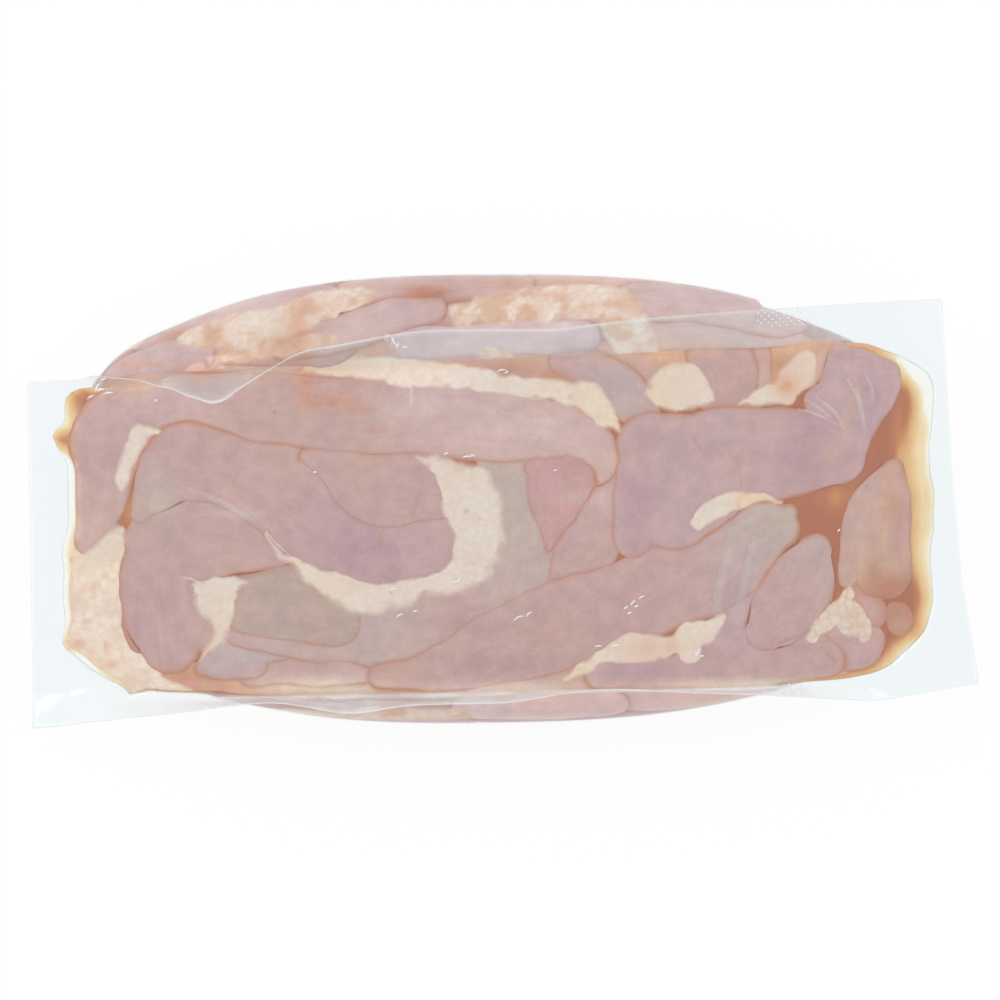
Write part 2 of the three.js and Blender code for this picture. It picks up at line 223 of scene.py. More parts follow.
closeness = np.exp(-reach(FACE, spoke_x, spoke_way) / SOFTEN)
for distance, facing in CUT_CORNERS:
    normal = np.array([math.cos(math.radians(facing)), math.sin(math.radians(facing))])
    speed = np.maximum(spoke_way @ normal, 1e-3)
    closeness += np.exp(-(distance - spoke_x * normal[0] - SPINE_Y * normal[1]) / speed / SOFTEN)
face_reach = -SOFTEN * np.log(closeness)
for size, height in END_UNEVEN:
    uneven = soft_noise(spoke_number, 0 * spoke_number, size, END_SEED)
    face_reach += height * np.abs(spoke_way[:, 0]) * uneven
for spur in SPURS:
    face_reach += bulge(*spur)
end_share = np.abs(spoke_way[:, 0]) ** 2
content_reach = face_reach - np.where(spoke_way[:, 0] > 0, RIGHT_GAP, LEFT_GAP) * end_share
print("reach of the face:", face_reach.min().round(1), "to", face_reach.max().round(1), "mm")

# %% [markdown]
# ## Two charts to lay things on
# Each loop is drawn flat, like a route on a map, and then laid on the pouch. The first map is the plan of
# the face as seen from above; past the face edge it dips over the shoulder of the belly. The second map
# unrolls the side: its first measure runs around the girth and its second runs down the side and under
# the foot. On both, depth is how far a point lies below the film.

# %% Chart of the pressed face
SHOULDER_LIP = 0.9
SHOULDER_SLOPE = math.radians(24)
START_LEVEL = FACE_LEVEL - SHOULDER_LIP
PLATEAU = 1.2
EDGE_DROP = 1.8
EDGE_ROUND = 8
END_ROLL = 2.0
BELLY_INSET = 1.0
TUCK_IN = 0.5
UNDER_FILM = 0.4


def shoulder_level(past, whole):
    """Height of the belly's shoulder at a distance past its start, of the whole way to the widest ring."""
    out = np.clip(past / np.maximum(whole, 1e-6), 0, 1)
    sine = np.sin(SHOULDER_SLOPE) + out * (1 - np.sin(SHOULDER_SLOPE))
    up = np.sqrt(np.maximum(0, 1 - sine ** 2)) / np.cos(SHOULDER_SLOPE)
    return BELLY_LEVEL + (START_LEVEL - BELLY_LEVEL) * up


def inside_content(x, y):
    """How far points of the plan lie inside the edge of the loops, along their spoke."""
    *_, length, number = spoke_toward(x, y)
    return around(content_reach, number) - length


def plateau(x, y):
    """Height of the pressed face over its own edge: full in the middle, below the film at the edge."""
    *_, length, number = spoke_toward(x, y)
    return PLATEAU - EDGE_DROP * np.clip(length / around(face_reach, number), 0, 1) ** EDGE_ROUND


def lay_on_face(flat, depth):
    """Points of the plan at a depth under the pressed face and, past its edge, under the shoulder."""
    base, way_x, way_y, length, number = spoke_toward(flat[..., 0], flat[..., 1])
    face, belly = around(face_reach, number), around(belly_reach, number)
    start = face + SHOULDER_LIP
    limit = np.maximum(around(content_reach, number), belly - BELLY_INSET)
    over = np.maximum(length - (limit - END_ROLL), 0)
    kept = np.where(over > 0, limit - END_ROLL * np.exp(-over / END_ROLL), length)
    slope = START_LEVEL + (FACE_LEVEL - START_LEVEL) * np.clip((start - kept) / SHOULDER_LIP, 0, 1)
    level = np.where(kept <= start, slope, shoulder_level(kept - start, belly - start))
    x, y = base + kept * way_x, SPINE_Y + kept * way_y
    level = level + plateau(x, y) - depth - TUCK_IN * (length - kept)
    # Where the face juts out over the belly, the film under it holds everything up
    floor = shoulder_level(face - kept, face - belly) + UNDER_FILM
    level = np.where(belly < face, np.maximum(level, floor), level)
    return np.stack([x, y, level], axis=-1)


print("face level over the middle:", lay_on_face(np.array([[0.0, -5.0]]), np.zeros(1))[0, 2].round(2), "mm")

# %% Chart of the sides and the foot
PROFILE_POINTS = 240

fall = np.linspace(0, 1, PROFILE_POINTS)
start_reach = face_reach + np.where(belly_reach > face_reach, SHOULDER_LIP, 0.0)
foot_reach = belly_reach * FOOT_SHARE
shoulder_turn = SHOULDER_SLOPE + (0.5 * math.pi - SHOULDER_SLOPE) * fall
shoulder_out = (np.sin(shoulder_turn) - np.sin(SHOULDER_SLOPE)) / (1 - np.sin(SHOULDER_SLOPE))
shoulder_r = start_reach[:, None] + (belly_reach - start_reach)[:, None] * shoulder_out
shoulder_z = BELLY_LEVEL + (START_LEVEL - BELLY_LEVEL) * np.cos(shoulder_turn) / np.cos(SHOULDER_SLOPE)
dome_r = foot_reach[:, None] + (belly_reach - foot_reach)[:, None] * np.cos(0.5 * math.pi * fall[1:])
dome_z = BELLY_LEVEL * (1 - np.sin(0.5 * math.pi * fall[1:]))
foot_r = foot_reach[:, None] * (1 - fall[1:])
profile_r = np.concatenate([shoulder_r, dome_r, foot_r], axis=1)
profile_z = np.concatenate([shoulder_z, dome_z, np.zeros(PROFILE_POINTS - 1)])
profile_z = np.broadcast_to(profile_z, profile_r.shape)
steps = np.hypot(np.diff(profile_r, axis=1), np.diff(profile_z, axis=1))
profile_s = np.concatenate([np.zeros((SPOKES, 1)), np.cumsum(steps, axis=1)], axis=1)
side_length = profile_s[:, -1]

# The same profile at every millimetre down the side, so that the chart is a plain grid
drops = np.arange(0, math.ceil(side_length.max()) + 2, 1.0)
grid_r = np.array([np.interp(drops, s, r) for s, r in zip(profile_s, profile_r)])
grid_z = np.array([np.interp(drops, s, z) for s, z in zip(profile_s, profile_z)])
print("chart of the side:", len(drops), "rows, a millimetre apart")

# %% A place on the side
SIDE_PROUD = 1.2
TAPER = 8.0
END_INSET = 3.5
INSET_FADE = 1.5
OVERHANG_DIP = 0.5
FOOT_CLEAR = 0.3


def smoothed_slope(grid):
    """Change of a grid per millimetre down the side, evened out over a few millimetres."""
    change = np.gradient(grid, axis=1)
    for _ in range(2):
        change[:, 1:-1] = (change[:, :-2] + 2 * change[:, 1:-1] + change[:, 2:]) / 4
    return change


slope_r, slope_z = smoothed_slope(grid_r), smoothed_slope(grid_z)
slope_size = np.maximum(np.hypot(slope_r, slope_z), 1e-6)
grid_out, grid_up = -slope_z / slope_size, slope_r / slope_size


def on_side_grid(grid, number, drop):
    """Value of the side's grid at a spoke number and a distance down the side."""
    drop = np.clip(drop, 0, len(drops) - 1.001)
    low = np.floor(drop).astype(int)
    share = drop - low
    number = np.mod(number, SPOKES)
    first = np.floor(number).astype(int) % SPOKES
    second = (first + 1) % SPOKES
    part = number - np.floor(number)
    upper = grid[first, low] * (1 - part) + grid[second, low] * part
    lower = grid[first, low + 1] * (1 - part) + grid[second, low + 1] * part
    return upper * (1 - share) + lower * share


def lay_on_side(flat, depth):
    """Points of the unrolled side, whose first measure is minus the spoke number, under the film."""
    number, drop = -flat[..., 0], flat[..., 1]
    proud = SIDE_PROUD * np.clip(drop / TAPER, 0, 1) - depth
    proud = proud - END_INSET * around(end_share, number) * np.clip(INSET_FADE - drop / TAPER, 0, 1)
    level = on_side_grid(grid_z, number, drop)
    r = on_side_grid(grid_r, number, drop) + proud * on_side_grid(grid_out, number, drop)
    z = level + proud * on_side_grid(grid_up, number, drop)
    # Under an overhang the inward way points up, and there the points go down instead
    high = np.clip((level - BELLY_LEVEL) / TAPER, 0, 1)
    z = np.where(proud < 0, z - high * np.maximum(z - (level + OVERHANG_DIP * proud), 0), z)
    base, way_x, way_y = (around(values, number) for values in (spoke_x, spoke_way[:, 0], spoke_way[:, 1]))
    return np.stack([base + r * way_x, SPINE_Y + r * way_y, np.maximum(z, FOOT_CLEAR)], axis=-1)


def on_belly(route):
    """A route given on the plan, turned into measures of the unrolled side."""
    x, y, width = np.array(route, float).T
    *_, length, number = spoke_toward(x, y)
    rows = np.round(number).astype(int) % SPOKES
    drop = [np.interp(r, shoulder_r[row], profile_s[row, :PROFILE_POINTS]) for r, row in zip(length, rows)]
    return np.stack([-np.unwrap(number, period=SPOKES), drop, width], axis=1)


print("side from face edge to the middle of the foot:", side_length.min().round(), "to",
      side_length.max().round(), "mm")

# %% [markdown]
# ## Camera, light table and lamps
# The pack is seen straight from above, on white, in a soft even light with hardly a shadow. A glowing
# white floor gives the clean ground. Big soft lamps stand to the sides, so that the flat film does not
# mirror them into the camera, and one small lamp puts sparkle on the creases of the film.

# %% Camera
CAMERA_HEIGHT = 805.0
LENS = 100.0
SENSOR = 36.0
VIEW_CENTRE = np.array([-0.435, 1.16, 0.0])

camera_data = bpy.data.cameras.new("camera")
camera_data.lens = LENS
camera_data.sensor_width = SENSOR
camera = bpy.data.objects.new("camera", camera_data)
camera.location = (VIEW_CENTRE - MIDDLE + np.array([0, 0, FACE_LEVEL + CAMERA_HEIGHT])) * MM
bpy.context.scene.collection.objects.link(camera)
bpy.context.scene.camera = camera
print("camera is", CAMERA_HEIGHT, "mm above the face")

# %% Colours and nodes


def linear(code):
    """Linear colour of an sRGB hex code."""
    parts = [int(code[k:k + 2], 16) / 255 for k in (1, 3, 5)]
    return tuple(p / 12.92 if p <= 0.04045 else ((p + 0.055) / 1.055) ** 2.4 for p in parts) + (1.0,)


def add_node(tree, kind, settings=None, links=None):
    """One node with its settings, by socket or property, and links from other nodes' outputs."""
    node = tree.nodes.new(kind)
    for key, value in (settings or {}).items():
        if isinstance(key, int) or key in node.inputs:
            node.inputs[key].default_value = value
        else:
            setattr(node, key, value)
    for key, output in (links or {}).items():
        tree.links.new(output, node.inputs[key])
    return node


def new_material(name):
    """An empty material and its node tree."""
    material = bpy.data.materials.new(name)
    material.use_nodes = True
    material.node_tree.nodes.clear()
    return material, material.node_tree


print("mauve in linear light:", [round(part, 3) for part in linear("#C4A8A3")])

# %% Light table and lamps
TABLE_HALF = 6.0
TABLE_GLOW = 0.9
TABLE_GREY = "#5A5A5A"
WORLD_GLOW = 0.85
# Each lamp has its name, its place and its size in metres, and its watts
LAMPS = (("soft_left", (-1.1, 0.35, 1.1), 1.0, 4.6), ("soft_right", (1.1, 0.35, 1.1), 1.0, 3.0),
         ("sparkle", (-0.35, 0.55, 0.9), 0.16, 0.4))

table_mesh = bpy.data.meshes.new("light_table")
table_mesh.from_pydata([(-TABLE_HALF, -TABLE_HALF, 0), (TABLE_HALF, -TABLE_HALF, 0),
                        (TABLE_HALF, TABLE_HALF, 0), (-TABLE_HALF, TABLE_HALF, 0)], [], [(0, 1, 2, 3)])
light_table = bpy.data.objects.new("light_table", table_mesh)
bpy.context.scene.collection.objects.link(light_table)
opal, tree = new_material("opal_acrylic")
glow = add_node(tree, "ShaderNodeEmission", {"Color": (1, 1, 1, 1), "Strength": TABLE_GLOW})
matt = add_node(tree, "ShaderNodeBsdfDiffuse", {"Color": linear(TABLE_GREY)})
both = add_node(tree, "ShaderNodeAddShader", None, {0: glow.outputs[0], 1: matt.outputs[0]})
add_node(tree, "ShaderNodeOutputMaterial", None, {"Surface": both.outputs[0]})
table_mesh.materials.append(opal)

world = bpy.data.worlds.new("studio")
bpy.context.scene.world = world
world.use_nodes = True
world.node_tree.nodes["Background"].inputs["Color"].default_value = (1, 1, 1, 1)
world.node_tree.nodes["Background"].inputs["Strength"].default_value = WORLD_GLOW


def add_lamp(name, place, size, watts):
    """A square soft lamp that shines at the pack."""
    lamp = bpy.data.lights.new(name, "AREA")
    lamp.size = size
    lamp.energy = watts
    holder = bpy.data.objects.new(name, lamp)
    holder.location = place
    aim = -holder.location.copy()
    holder.rotation_euler = aim.to_track_quat("-Z", "Y").to_euler()
    bpy.context.scene.collection.objects.link(holder)


for lamp_settings in LAMPS:
    add_lamp(*lamp_settings)

scene_view = bpy.context.scene.view_settings
scene_view.view_transform = "Standard"
scene_view.look = "None"

# %% [markdown]
# ## Sweeping a pressed loop
# A loop of intestine in the pack is a soft tube squeezed flat. It could be a bevelled curve, but a curve
# cannot press itself against its neighbours. So each one is swept as rows of points across its route: a
# pressed top that rolls down at its edges, and a round hidden underside. Where a loop in front of it lies,
# its top is pushed down and slips under, which makes the creases between loops.

# %% Routes and distances
THINNEST = 0.35


def smooth_route(knots, step):
    """Points about every step along a smooth curve through knots of x, y and half-width."""
    knots = np.array(knots, float)
    padded = np.vstack([2 * knots[0] - knots[1], knots, 2 * knots[-1] - knots[-2]])
    pieces = []
    for p0, p1, p2, p3 in zip(padded, padded[1:], padded[2:], padded[3:]):
        count = max(2, math.ceil(np.hypot(*(p2 - p1)[:2]) / step))
        t = np.linspace(0, 1, count, endpoint=False)[:, None]
        pieces.append(0.5 * (2 * p1 + (p2 - p0) * t + (2 * p0 - 5 * p1 + 4 * p2 - p3) * t ** 2
                             + (3 * p1 - p0 - 3 * p2 + p3) * t ** 3))
    line = np.vstack(pieces + [knots[-1:]])
    line[:, 2] = np.maximum(line[:, 2], THINNEST)
    return line


def inside_route(line, flat):
    """How far points lie inside the edge of a route, negative outside it."""
    best = np.full(flat.shape[:-1], -np.inf)
    for a, b in zip(line[:-1], line[1:]):
        span = b[:2] - a[:2]
        t = np.clip(((flat - a[:2]) @ span) / max(span @ span, 1e-9), 0, 1)
        away = np.hypot(flat[..., 0] - a[0] - t * span[0], flat[..., 1] - a[1] - t * span[1])
        best = np.maximum(best, a[2] + (b[2] - a[2]) * t - away)
    return best


def rolled(inside, edge):
    """Depth of a rounded edge of a radius: the radius at the very edge, nothing further in."""
    short = 1 - np.clip(inside / edge, 0, 1)
    return edge * (1 - np.sqrt(np.maximum(0, 1 - short ** 2)))


print("depth of a 1.6 mm edge, 0.6 mm in:", rolled(np.array([0.6]), 1.6).round(2)[0], "mm")

# %% Rows of points across a route
ROUND_END = 9
END_BLUNT = 0.02
LEAST_ACROSS = 10
MOST_ACROSS = 46
RIM_CROWDING = 0.65
UNDER_POINTS = 6
UNDER_DEPTH = 4.5
UNDER_BELLY = 2.5
UNDER_ACROSS = np.linspace(0.8, -0.8, UNDER_POINTS)
BEND_ROOM = 0.9


def sweep(route, step, spacing):
    """Flat rows of points across a route with round ends; also the length run and the place across."""
    line = smooth_route(route, step)
    heading = np.gradient(line[:, :2], axis=0)
    heading /= np.maximum(np.hypot(heading[:, :1], heading[:, 1:]), 1e-9)
    turn = np.linspace(0.5 * math.pi, 0, ROUND_END, endpoint=False) - END_BLUNT
    first = [(line[0, :2] - heading[0] * line[0, 2] * math.sin(a), heading[0], line[0, 2] * math.cos(a))
             for a in turn]
    last = [(line[-1, :2] + heading[-1] * line[-1, 2] * math.sin(a), heading[-1], line[-1, 2] * math.cos(a))
            for a in turn[::-1]]
    rows = first + list(zip(line[:, :2], heading, line[:, 2])) + last
    middle = np.array([row[0] for row in rows])
    heading = np.array([row[1] for row in rows])
    width = np.array([row[2] for row in rows])
    run = np.concatenate([[0], np.cumsum(np.hypot(*np.diff(middle, axis=0).T))])
    # On the inner side of a tight bend the rows stop short of its centre, so that they do not cross
    turning = np.gradient(np.unwrap(np.arctan2(heading[:, 1], heading[:, 0])))
    bend = turning / np.maximum(np.gradient(run), 1e-6)
    room = [np.minimum(width, BEND_ROOM / np.maximum(side * bend, 1e-6))[:, None] for side in (1, -1)]
    # The points crowd towards the rims, where the roll of the edge needs them
    count = int(np.clip(2 * line[:, 2].max() / spacing, LEAST_ACROSS, MOST_ACROSS))
    crowded = -np.cos(np.linspace(0, math.pi, count + 1))
    evenly = np.linspace(-1, 1, count + 1)
    across = np.concatenate([RIM_CROWDING * crowded + (1 - RIM_CROWDING) * evenly, UNDER_ACROSS])
    sideways = np.where(across > 0, room[0], room[1]) * across
    left = np.stack([-heading[:, 1], heading[:, 0]], axis=1)
    flat = middle[:, None, :] + left[:, None, :] * sideways[..., None]
    return flat, run, sideways, count + 1


print("rows across a 12 mm loop:", sweep([(0, 0, 6), (12, 0, 6)], 0.8, 0.8)[0].shape)

# %% What the loops in front do
HALO = 1.5
HALO_SHARE = 0.25


def soaked(away, width):
    """Share of juice beside a crease: a line of a width and a faint halo."""
    return np.maximum(np.exp(-(away / width) ** 2), HALO_SHARE * np.exp(-away / HALO))


def push_down(flat, fronts, spread):
    """Depth to which the loops in front push points, and the juice in the grooves at their edges."""
    depth, wet = np.zeros(flat.shape[:-1]), np.zeros(flat.shape[:-1])
    low, high = flat.reshape(-1, 2).min(0), flat.reshape(-1, 2).max(0)
    for front in fronts:
        line, kind = front["line"], front["kind"]
        margin = line[:, 2].max() + kind["edge"] + 2 * HALO
        if np.any(line[:, :2].max(0) + margin < low) or np.any(line[:, :2].min(0) - margin > high):
            continue
        inside = inside_route(line, flat)
        groove = kind["lip"] / kind["edge"] * rolled(np.maximum(-inside, 0), kind["edge"])
        under = np.minimum(groove + kind["slip"] * inside, kind["deepest"])
        depth = np.maximum(depth, np.where(inside > 0, under, groove))
        wet = np.maximum(wet, kind["wet"] * soaked(np.maximum(-inside, 0) / spread, kind["line"]))
    return depth, wet


print("juice 0.3 mm beside a crease:", soaked(np.array([0.3]), 0.55).round(2)[0])

# %% Collecting rows into one mesh


class Heap:
    """Points, faces and painted values of many pressed loops that make one piece."""

    def __init__(self):
        self.points, self.faces, self.tint, self.juice, self.run = [], [], [], [], []
        self.count = 0

    def add_strip(self, points, tint, juice, run):
        """One closed strip from rows of ring points, with its painted values."""
        rows, size = points.shape[:2]
        start = self.count
        ring = np.arange(size)
        after = (ring + 1) % size
        for s in range(rows - 1):
            a, b = start + s * size, start + (s + 1) * size
            self.faces.extend(zip((a + ring).tolist(), (b + ring).tolist(),
                                  (b + after).tolist(), (a + after).tolist()))
        self.faces.append(tuple((start + ring).tolist()))
        self.faces.append(tuple((start + (rows - 1) * size + ring[::-1]).tolist()))
        self.points.append(points.reshape(-1, 3))
        self.tint.append(tint.reshape(-1, 4))
        self.juice.append(juice.reshape(-1))
        self.run.append(run.reshape(-1, 3))
        self.count += rows * size


def paint(mesh, name, kind, values):
    """Stores a value for every point of a mesh, for its material to read."""
    layer = mesh.attributes.new(name, kind, "POINT")
    field = {"FLOAT": "value", "FLOAT_COLOR": "color", "FLOAT_VECTOR": "vector"}[kind]
    layer.data.foreach_set(field, np.ascontiguousarray(values, np.float32).reshape(-1))


def make_piece(name, points, faces, material):
    """A smooth mesh object from points of the plan in millimetres, riding on the pack."""
    mesh = bpy.data.meshes.new(name)
    mesh.from_pydata(((points - MIDDLE) * MM).tolist(), [], faces)
    mesh.polygons.foreach_set("use_smooth", np.ones(len(mesh.polygons), bool))
    mesh.materials.append(material)
    piece = bpy.data.objects.new(name, mesh)
    bpy.context.scene.collection.objects.link(piece)
    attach(piece, "root")
    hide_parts("vacuum_pack")
    return piece


def heap_piece(name, heap, material):
    """The piece of a whole heap, with its tint, juice and run painted on."""
    points = np.concatenate(heap.points)
    piece = make_piece(name, points, heap.faces, material)
    paint(piece.data, "tint", "FLOAT_COLOR", np.concatenate(heap.tint))
    paint(piece.data, "juice", "FLOAT", np.concatenate(heap.juice))
    paint(piece.data, "run", "FLOAT_VECTOR", np.concatenate(heap.run) * MM)
    triangles = sum(len(polygon.vertices) - 2 for polygon in piece.data.polygons)
    print(name, "has", triangles, "triangles")
    return piece


print("each piece is one mesh that rides on the pack")

# %% [markdown]
# ## Finishes of what is inside
# Cooked intestine is smooth muscle and collagen: moist, satin and a little translucent, mauve where it is
# thick and grey-green where gall has stained it. Pressed to the film it hardly shines by itself. Its
# colour is painted on the points, then broken up by soft blotches and by faint wrinkles along the loop.

# %% Boiled intestine wall
BLOTCH = 5.0
WRINKLE_ALONG = 14.0
WRINKLE_ACROSS = 1.6
# The third measure of a run sets the wrinkles of one strip apart from those of the next
LOOP_SHIFT = 40.0
GRAIN = 0.9
JUICE_BROWN = "#BC8064"
# Most of a noise lies between these two values
NOISE_LOW = 0.3
NOISE_HIGH = 0.7
# Darkest and palest shade that each pattern gives to the tint
BLOTCH_SHADES = (0.9, 1.07)
WRINKLE_SHADES = (0.96, 1.035)
GRAIN_SHADES = (0.965, 1.035)


def intestine_material():
    """Satin moist tissue: soft blotches, wrinkles along the loop, brown juice in the creases."""
    material, tree = new_material("boiled_intestine_wall")
    tint, juice, run = (add_node(tree, "ShaderNodeAttribute", {"attribute_name": name})
                        for name in ("tint", "juice", "run"))
    place = add_node(tree, "ShaderNodeTexCoord")
    stretch = add_node(tree, "ShaderNodeMapping",
                       {"Scale": (1 / (WRINKLE_ALONG * MM), 1 / (WRINKLE_ACROSS * MM), LOOP_SHIFT)},
                       {"Vector": run.outputs["Vector"]})
    blotch = add_node(tree, "ShaderNodeTexNoise",
                      {"Scale": 1 / (BLOTCH * MM), "Detail": 3.0, "Roughness": 0.6},
                      {"Vector": place.outputs["Object"]})
    wrinkle = add_node(tree, "ShaderNodeTexNoise", {"Scale": 1.0, "Detail": 4.0, "Roughness": 0.55},
                       {"Vector": stretch.outputs[0]})
    grain = add_node(tree, "ShaderNodeTexNoise",
                     {"Scale": 1 / (GRAIN * MM), "Detail": 2.0, "Roughness": 0.6},
                     {"Vector": place.outputs["Object"]})
    tissue = tint
    for noise, shades in ((blotch, BLOTCH_SHADES), (wrinkle, WRINKLE_SHADES), (grain, GRAIN_SHADES)):
        shade = add_node(tree, "ShaderNodeMapRange",
                         {"From Min": NOISE_LOW, "From Max": NOISE_HIGH,
                          "To Min": shades[0], "To Max": shades[1]},
                         {"Value": noise.outputs[0]})
        tissue = add_node(tree, "ShaderNodeVectorMath", {"operation": "SCALE"},
                          {0: tissue.outputs[0], "Scale": shade.outputs[0]})
    colour = add_node(tree, "ShaderNodeMix", {"data_type": "RGBA", 7: linear(JUICE_BROWN)},
                      {0: juice.outputs["Fac"], 6: tissue.outputs[0]})
    bump = add_node(tree, "ShaderNodeBump", {"Strength": 0.35, "Distance": 0.25 * MM},
                    {"Height": wrinkle.outputs[0]})
    skin = add_node(tree, "ShaderNodeBsdfPrincipled",
                    {"Roughness": 0.5, "IOR": 1.38, "Specular IOR Level": 0.3},
                    {"Base Color": colour.outputs[2], "Normal": bump.outputs[0]})
    add_node(tree, "ShaderNodeOutputMaterial", None, {"Surface": skin.outputs[0]})
    return material


intestine_wall = intestine_material()
print("material:", intestine_wall.name)

# %% Beef fat
LOBULE = 2.0
FAT_SEAM = "#DCC0A8"
FAT_JUICE = "#CF9E7C"
# Where the seam between two lobules starts and is full, and its share of the colour there
SEAM_START = 0.25
SEAM_FULL = 0.75
SEAM_SHARE = 0.32


def fat_material():
    """Soft opaque suet: cream lobules a couple of millimetres wide with yellower seams between."""
    material, tree = new_material("beef_suet")
    tint, juice = (add_node(tree, "ShaderNodeAttribute", {"attribute_name": name})
                   for name in ("tint", "juice"))
    place = add_node(tree, "ShaderNodeTexCoord")
    cell = add_node(tree, "ShaderNodeTexVoronoi",
                    {"feature": "SMOOTH_F1", "Scale": 1 / (LOBULE * MM), "Smoothness": 0.7},
                    {"Vector": place.outputs["Object"]})
    seam = add_node(tree, "ShaderNodeMapRange",
                    {"From Min": SEAM_START, "From Max": SEAM_FULL, "To Min": 0.0, "To Max": SEAM_SHARE},
                    {"Value": cell.outputs["Distance"]})
    lumpy = add_node(tree, "ShaderNodeMix", {"data_type": "RGBA", 7: linear(FAT_SEAM)},
                     {0: seam.outputs[0], 6: tint.outputs["Color"]})
    colour = add_node(tree, "ShaderNodeMix", {"data_type": "RGBA", 7: linear(FAT_JUICE)},
                      {0: juice.outputs["Fac"], 6: lumpy.outputs[2]})
    bump = add_node(tree, "ShaderNodeBump", {"Strength": 0.9, "Distance": 0.4 * MM, "invert": True},
                    {"Height": cell.outputs["Distance"]})
    suet = add_node(tree, "ShaderNodeBsdfPrincipled",
                    {"Roughness": 0.45, "IOR": 1.45, "Specular IOR Level": 0.35},
                    {"Base Color": colour.outputs[2], "Normal": bump.outputs[0],
                     "Alpha": tint.outputs["Alpha"]})
    add_node(tree, "ShaderNodeOutputMaterial", None, {"Surface": suet.outputs[0]})
    return material


suet = fat_material()
print("material:", suet.name)

# %% Set meat juice
CLOUD_ACROSS = 5.0
CLOUD_ALONG = 22.0
CLOUD_DRIFT = 0.06
# Each step has its thinness and its colour
JUICE_STEPS = ((0.0, "#AE694B"), (0.2, "#B87550"), (0.33, "#C78A58"), (0.46, "#DBA877"), (0.6, "#E4BD88"),
               (0.75, "#E8CF9E"), (0.88, "#EFDFBC"), (1.0, "#F5F4EE"))


def juice_material():
    """Jellied meat juice: glossy, orange-brown where deep, amber and then straw-pale where thin."""
    material, tree = new_material("jellied_meat_juice")
    thin = add_node(tree, "ShaderNodeAttribute", {"attribute_name": "thin"})
    place = add_node(tree, "ShaderNodeTexCoord")
    drawn = add_node(tree, "ShaderNodeMapping",
                     {"Scale": (1 / (CLOUD_ACROSS * MM), 1 / (CLOUD_ALONG * MM), 1 / (CLOUD_ACROSS * MM))},
                     {"Vector": place.outputs["Object"]})
    cloud = add_node(tree, "ShaderNodeTexNoise", {"Scale": 1.0, "Detail": 3.0},
                     {"Vector": drawn.outputs[0]})
    drift = add_node(tree, "ShaderNodeMapRange",
                     {"From Min": NOISE_LOW, "From Max": NOISE_HIGH,
                      "To Min": -CLOUD_DRIFT, "To Max": CLOUD_DRIFT},
                     {"Value": cloud.outputs[0]})
    level = add_node(tree, "ShaderNodeMath", {"operation": "ADD", "use_clamp": True},
                     {0: thin.outputs["Fac"], 1: drift.outputs[0]})
    ramp = add_node(tree, "ShaderNodeValToRGB", None, {"Fac": level.outputs[0]})
    elements = ramp.color_ramp.elements
    elements[0].color = linear(JUICE_STEPS[0][1])
    elements[1].color = linear(JUICE_STEPS[-1][1])
    for position, code in JUICE_STEPS[1:-1]:
        elements.new(position).color = linear(code)
    jelly = add_node(tree, "ShaderNodeBsdfPrincipled",
                     {"Roughness": 0.25, "IOR": 1.36, "Specular IOR Level": 0.3, "Subsurface Weight": 0.3,
                      "Subsurface Radius": (1.0, 0.5, 0.3), "Subsurface Scale": 2.0 * MM},
                     {"Base Color": ramp.outputs[0]})
    add_node(tree, "ShaderNodeOutputMaterial", None, {"Surface": jelly.outputs[0]})
    return material


jelly = juice_material()
print("material:", jelly.name)

# %% [markdown]
# ## Tints of tissue and fat
# Each loop takes a few tints along its length. The differences are small on the real thing: most of it is
# mauve, pinker where the wall is thin and greyer where gall has stained it. Stains are soft ovals of a tint
# on the plan: brown where juice lies between loop and film, and darker or paler patches of the wall.

# %% Tints
TISSUE = {
    "mauve": "#C09C97", "pink": "#CBA9A3", "rose": "#C39690", "violet": "#B89397", "lilac": "#C09E9E",
    "grey": "#BDA49E", "green": "#BEA99D", "tan": "#C6A08C", "brown": "#B57C60", "peach": "#D8AA8A",
    # blush is the pink painted paler, which offsets the shade on belly loops that slope away from the light
    "blush": "#DDB8B1", "gall": "#B69C92", "ash": "#BAA8AA", "pale": "#DAC0C0", "heather": "#CFB0AE",
}
FAT_TINT = {
    "cream": "#E3D1C1", "white": "#E0D3C7", "yellow": "#E6D0AE", "pinkish": "#E0C4B3", "peach": "#EFDAC4",
    "blush": "#DDB8A2", "pale": "#EFDDD0", "chalk": "#FBEBE1",
}
STAIN_TINT = {
    "juice": "#B97D60", "peach": "#DAA682", "violet": "#A9879A", "green": "#BDAF9F", "pale": "#D8C2BD",
    "rose": "#BD8C86", "magenta": "#AE8190", "grey": "#9A918C", "vein": "#D89878", "dark": "#7A5A50",
    "orange": "#C88B70", "rust": "#B66A46", "cream": "#E6D2C2", "tan": "#CDA58D", "deep": "#AE8886",
}
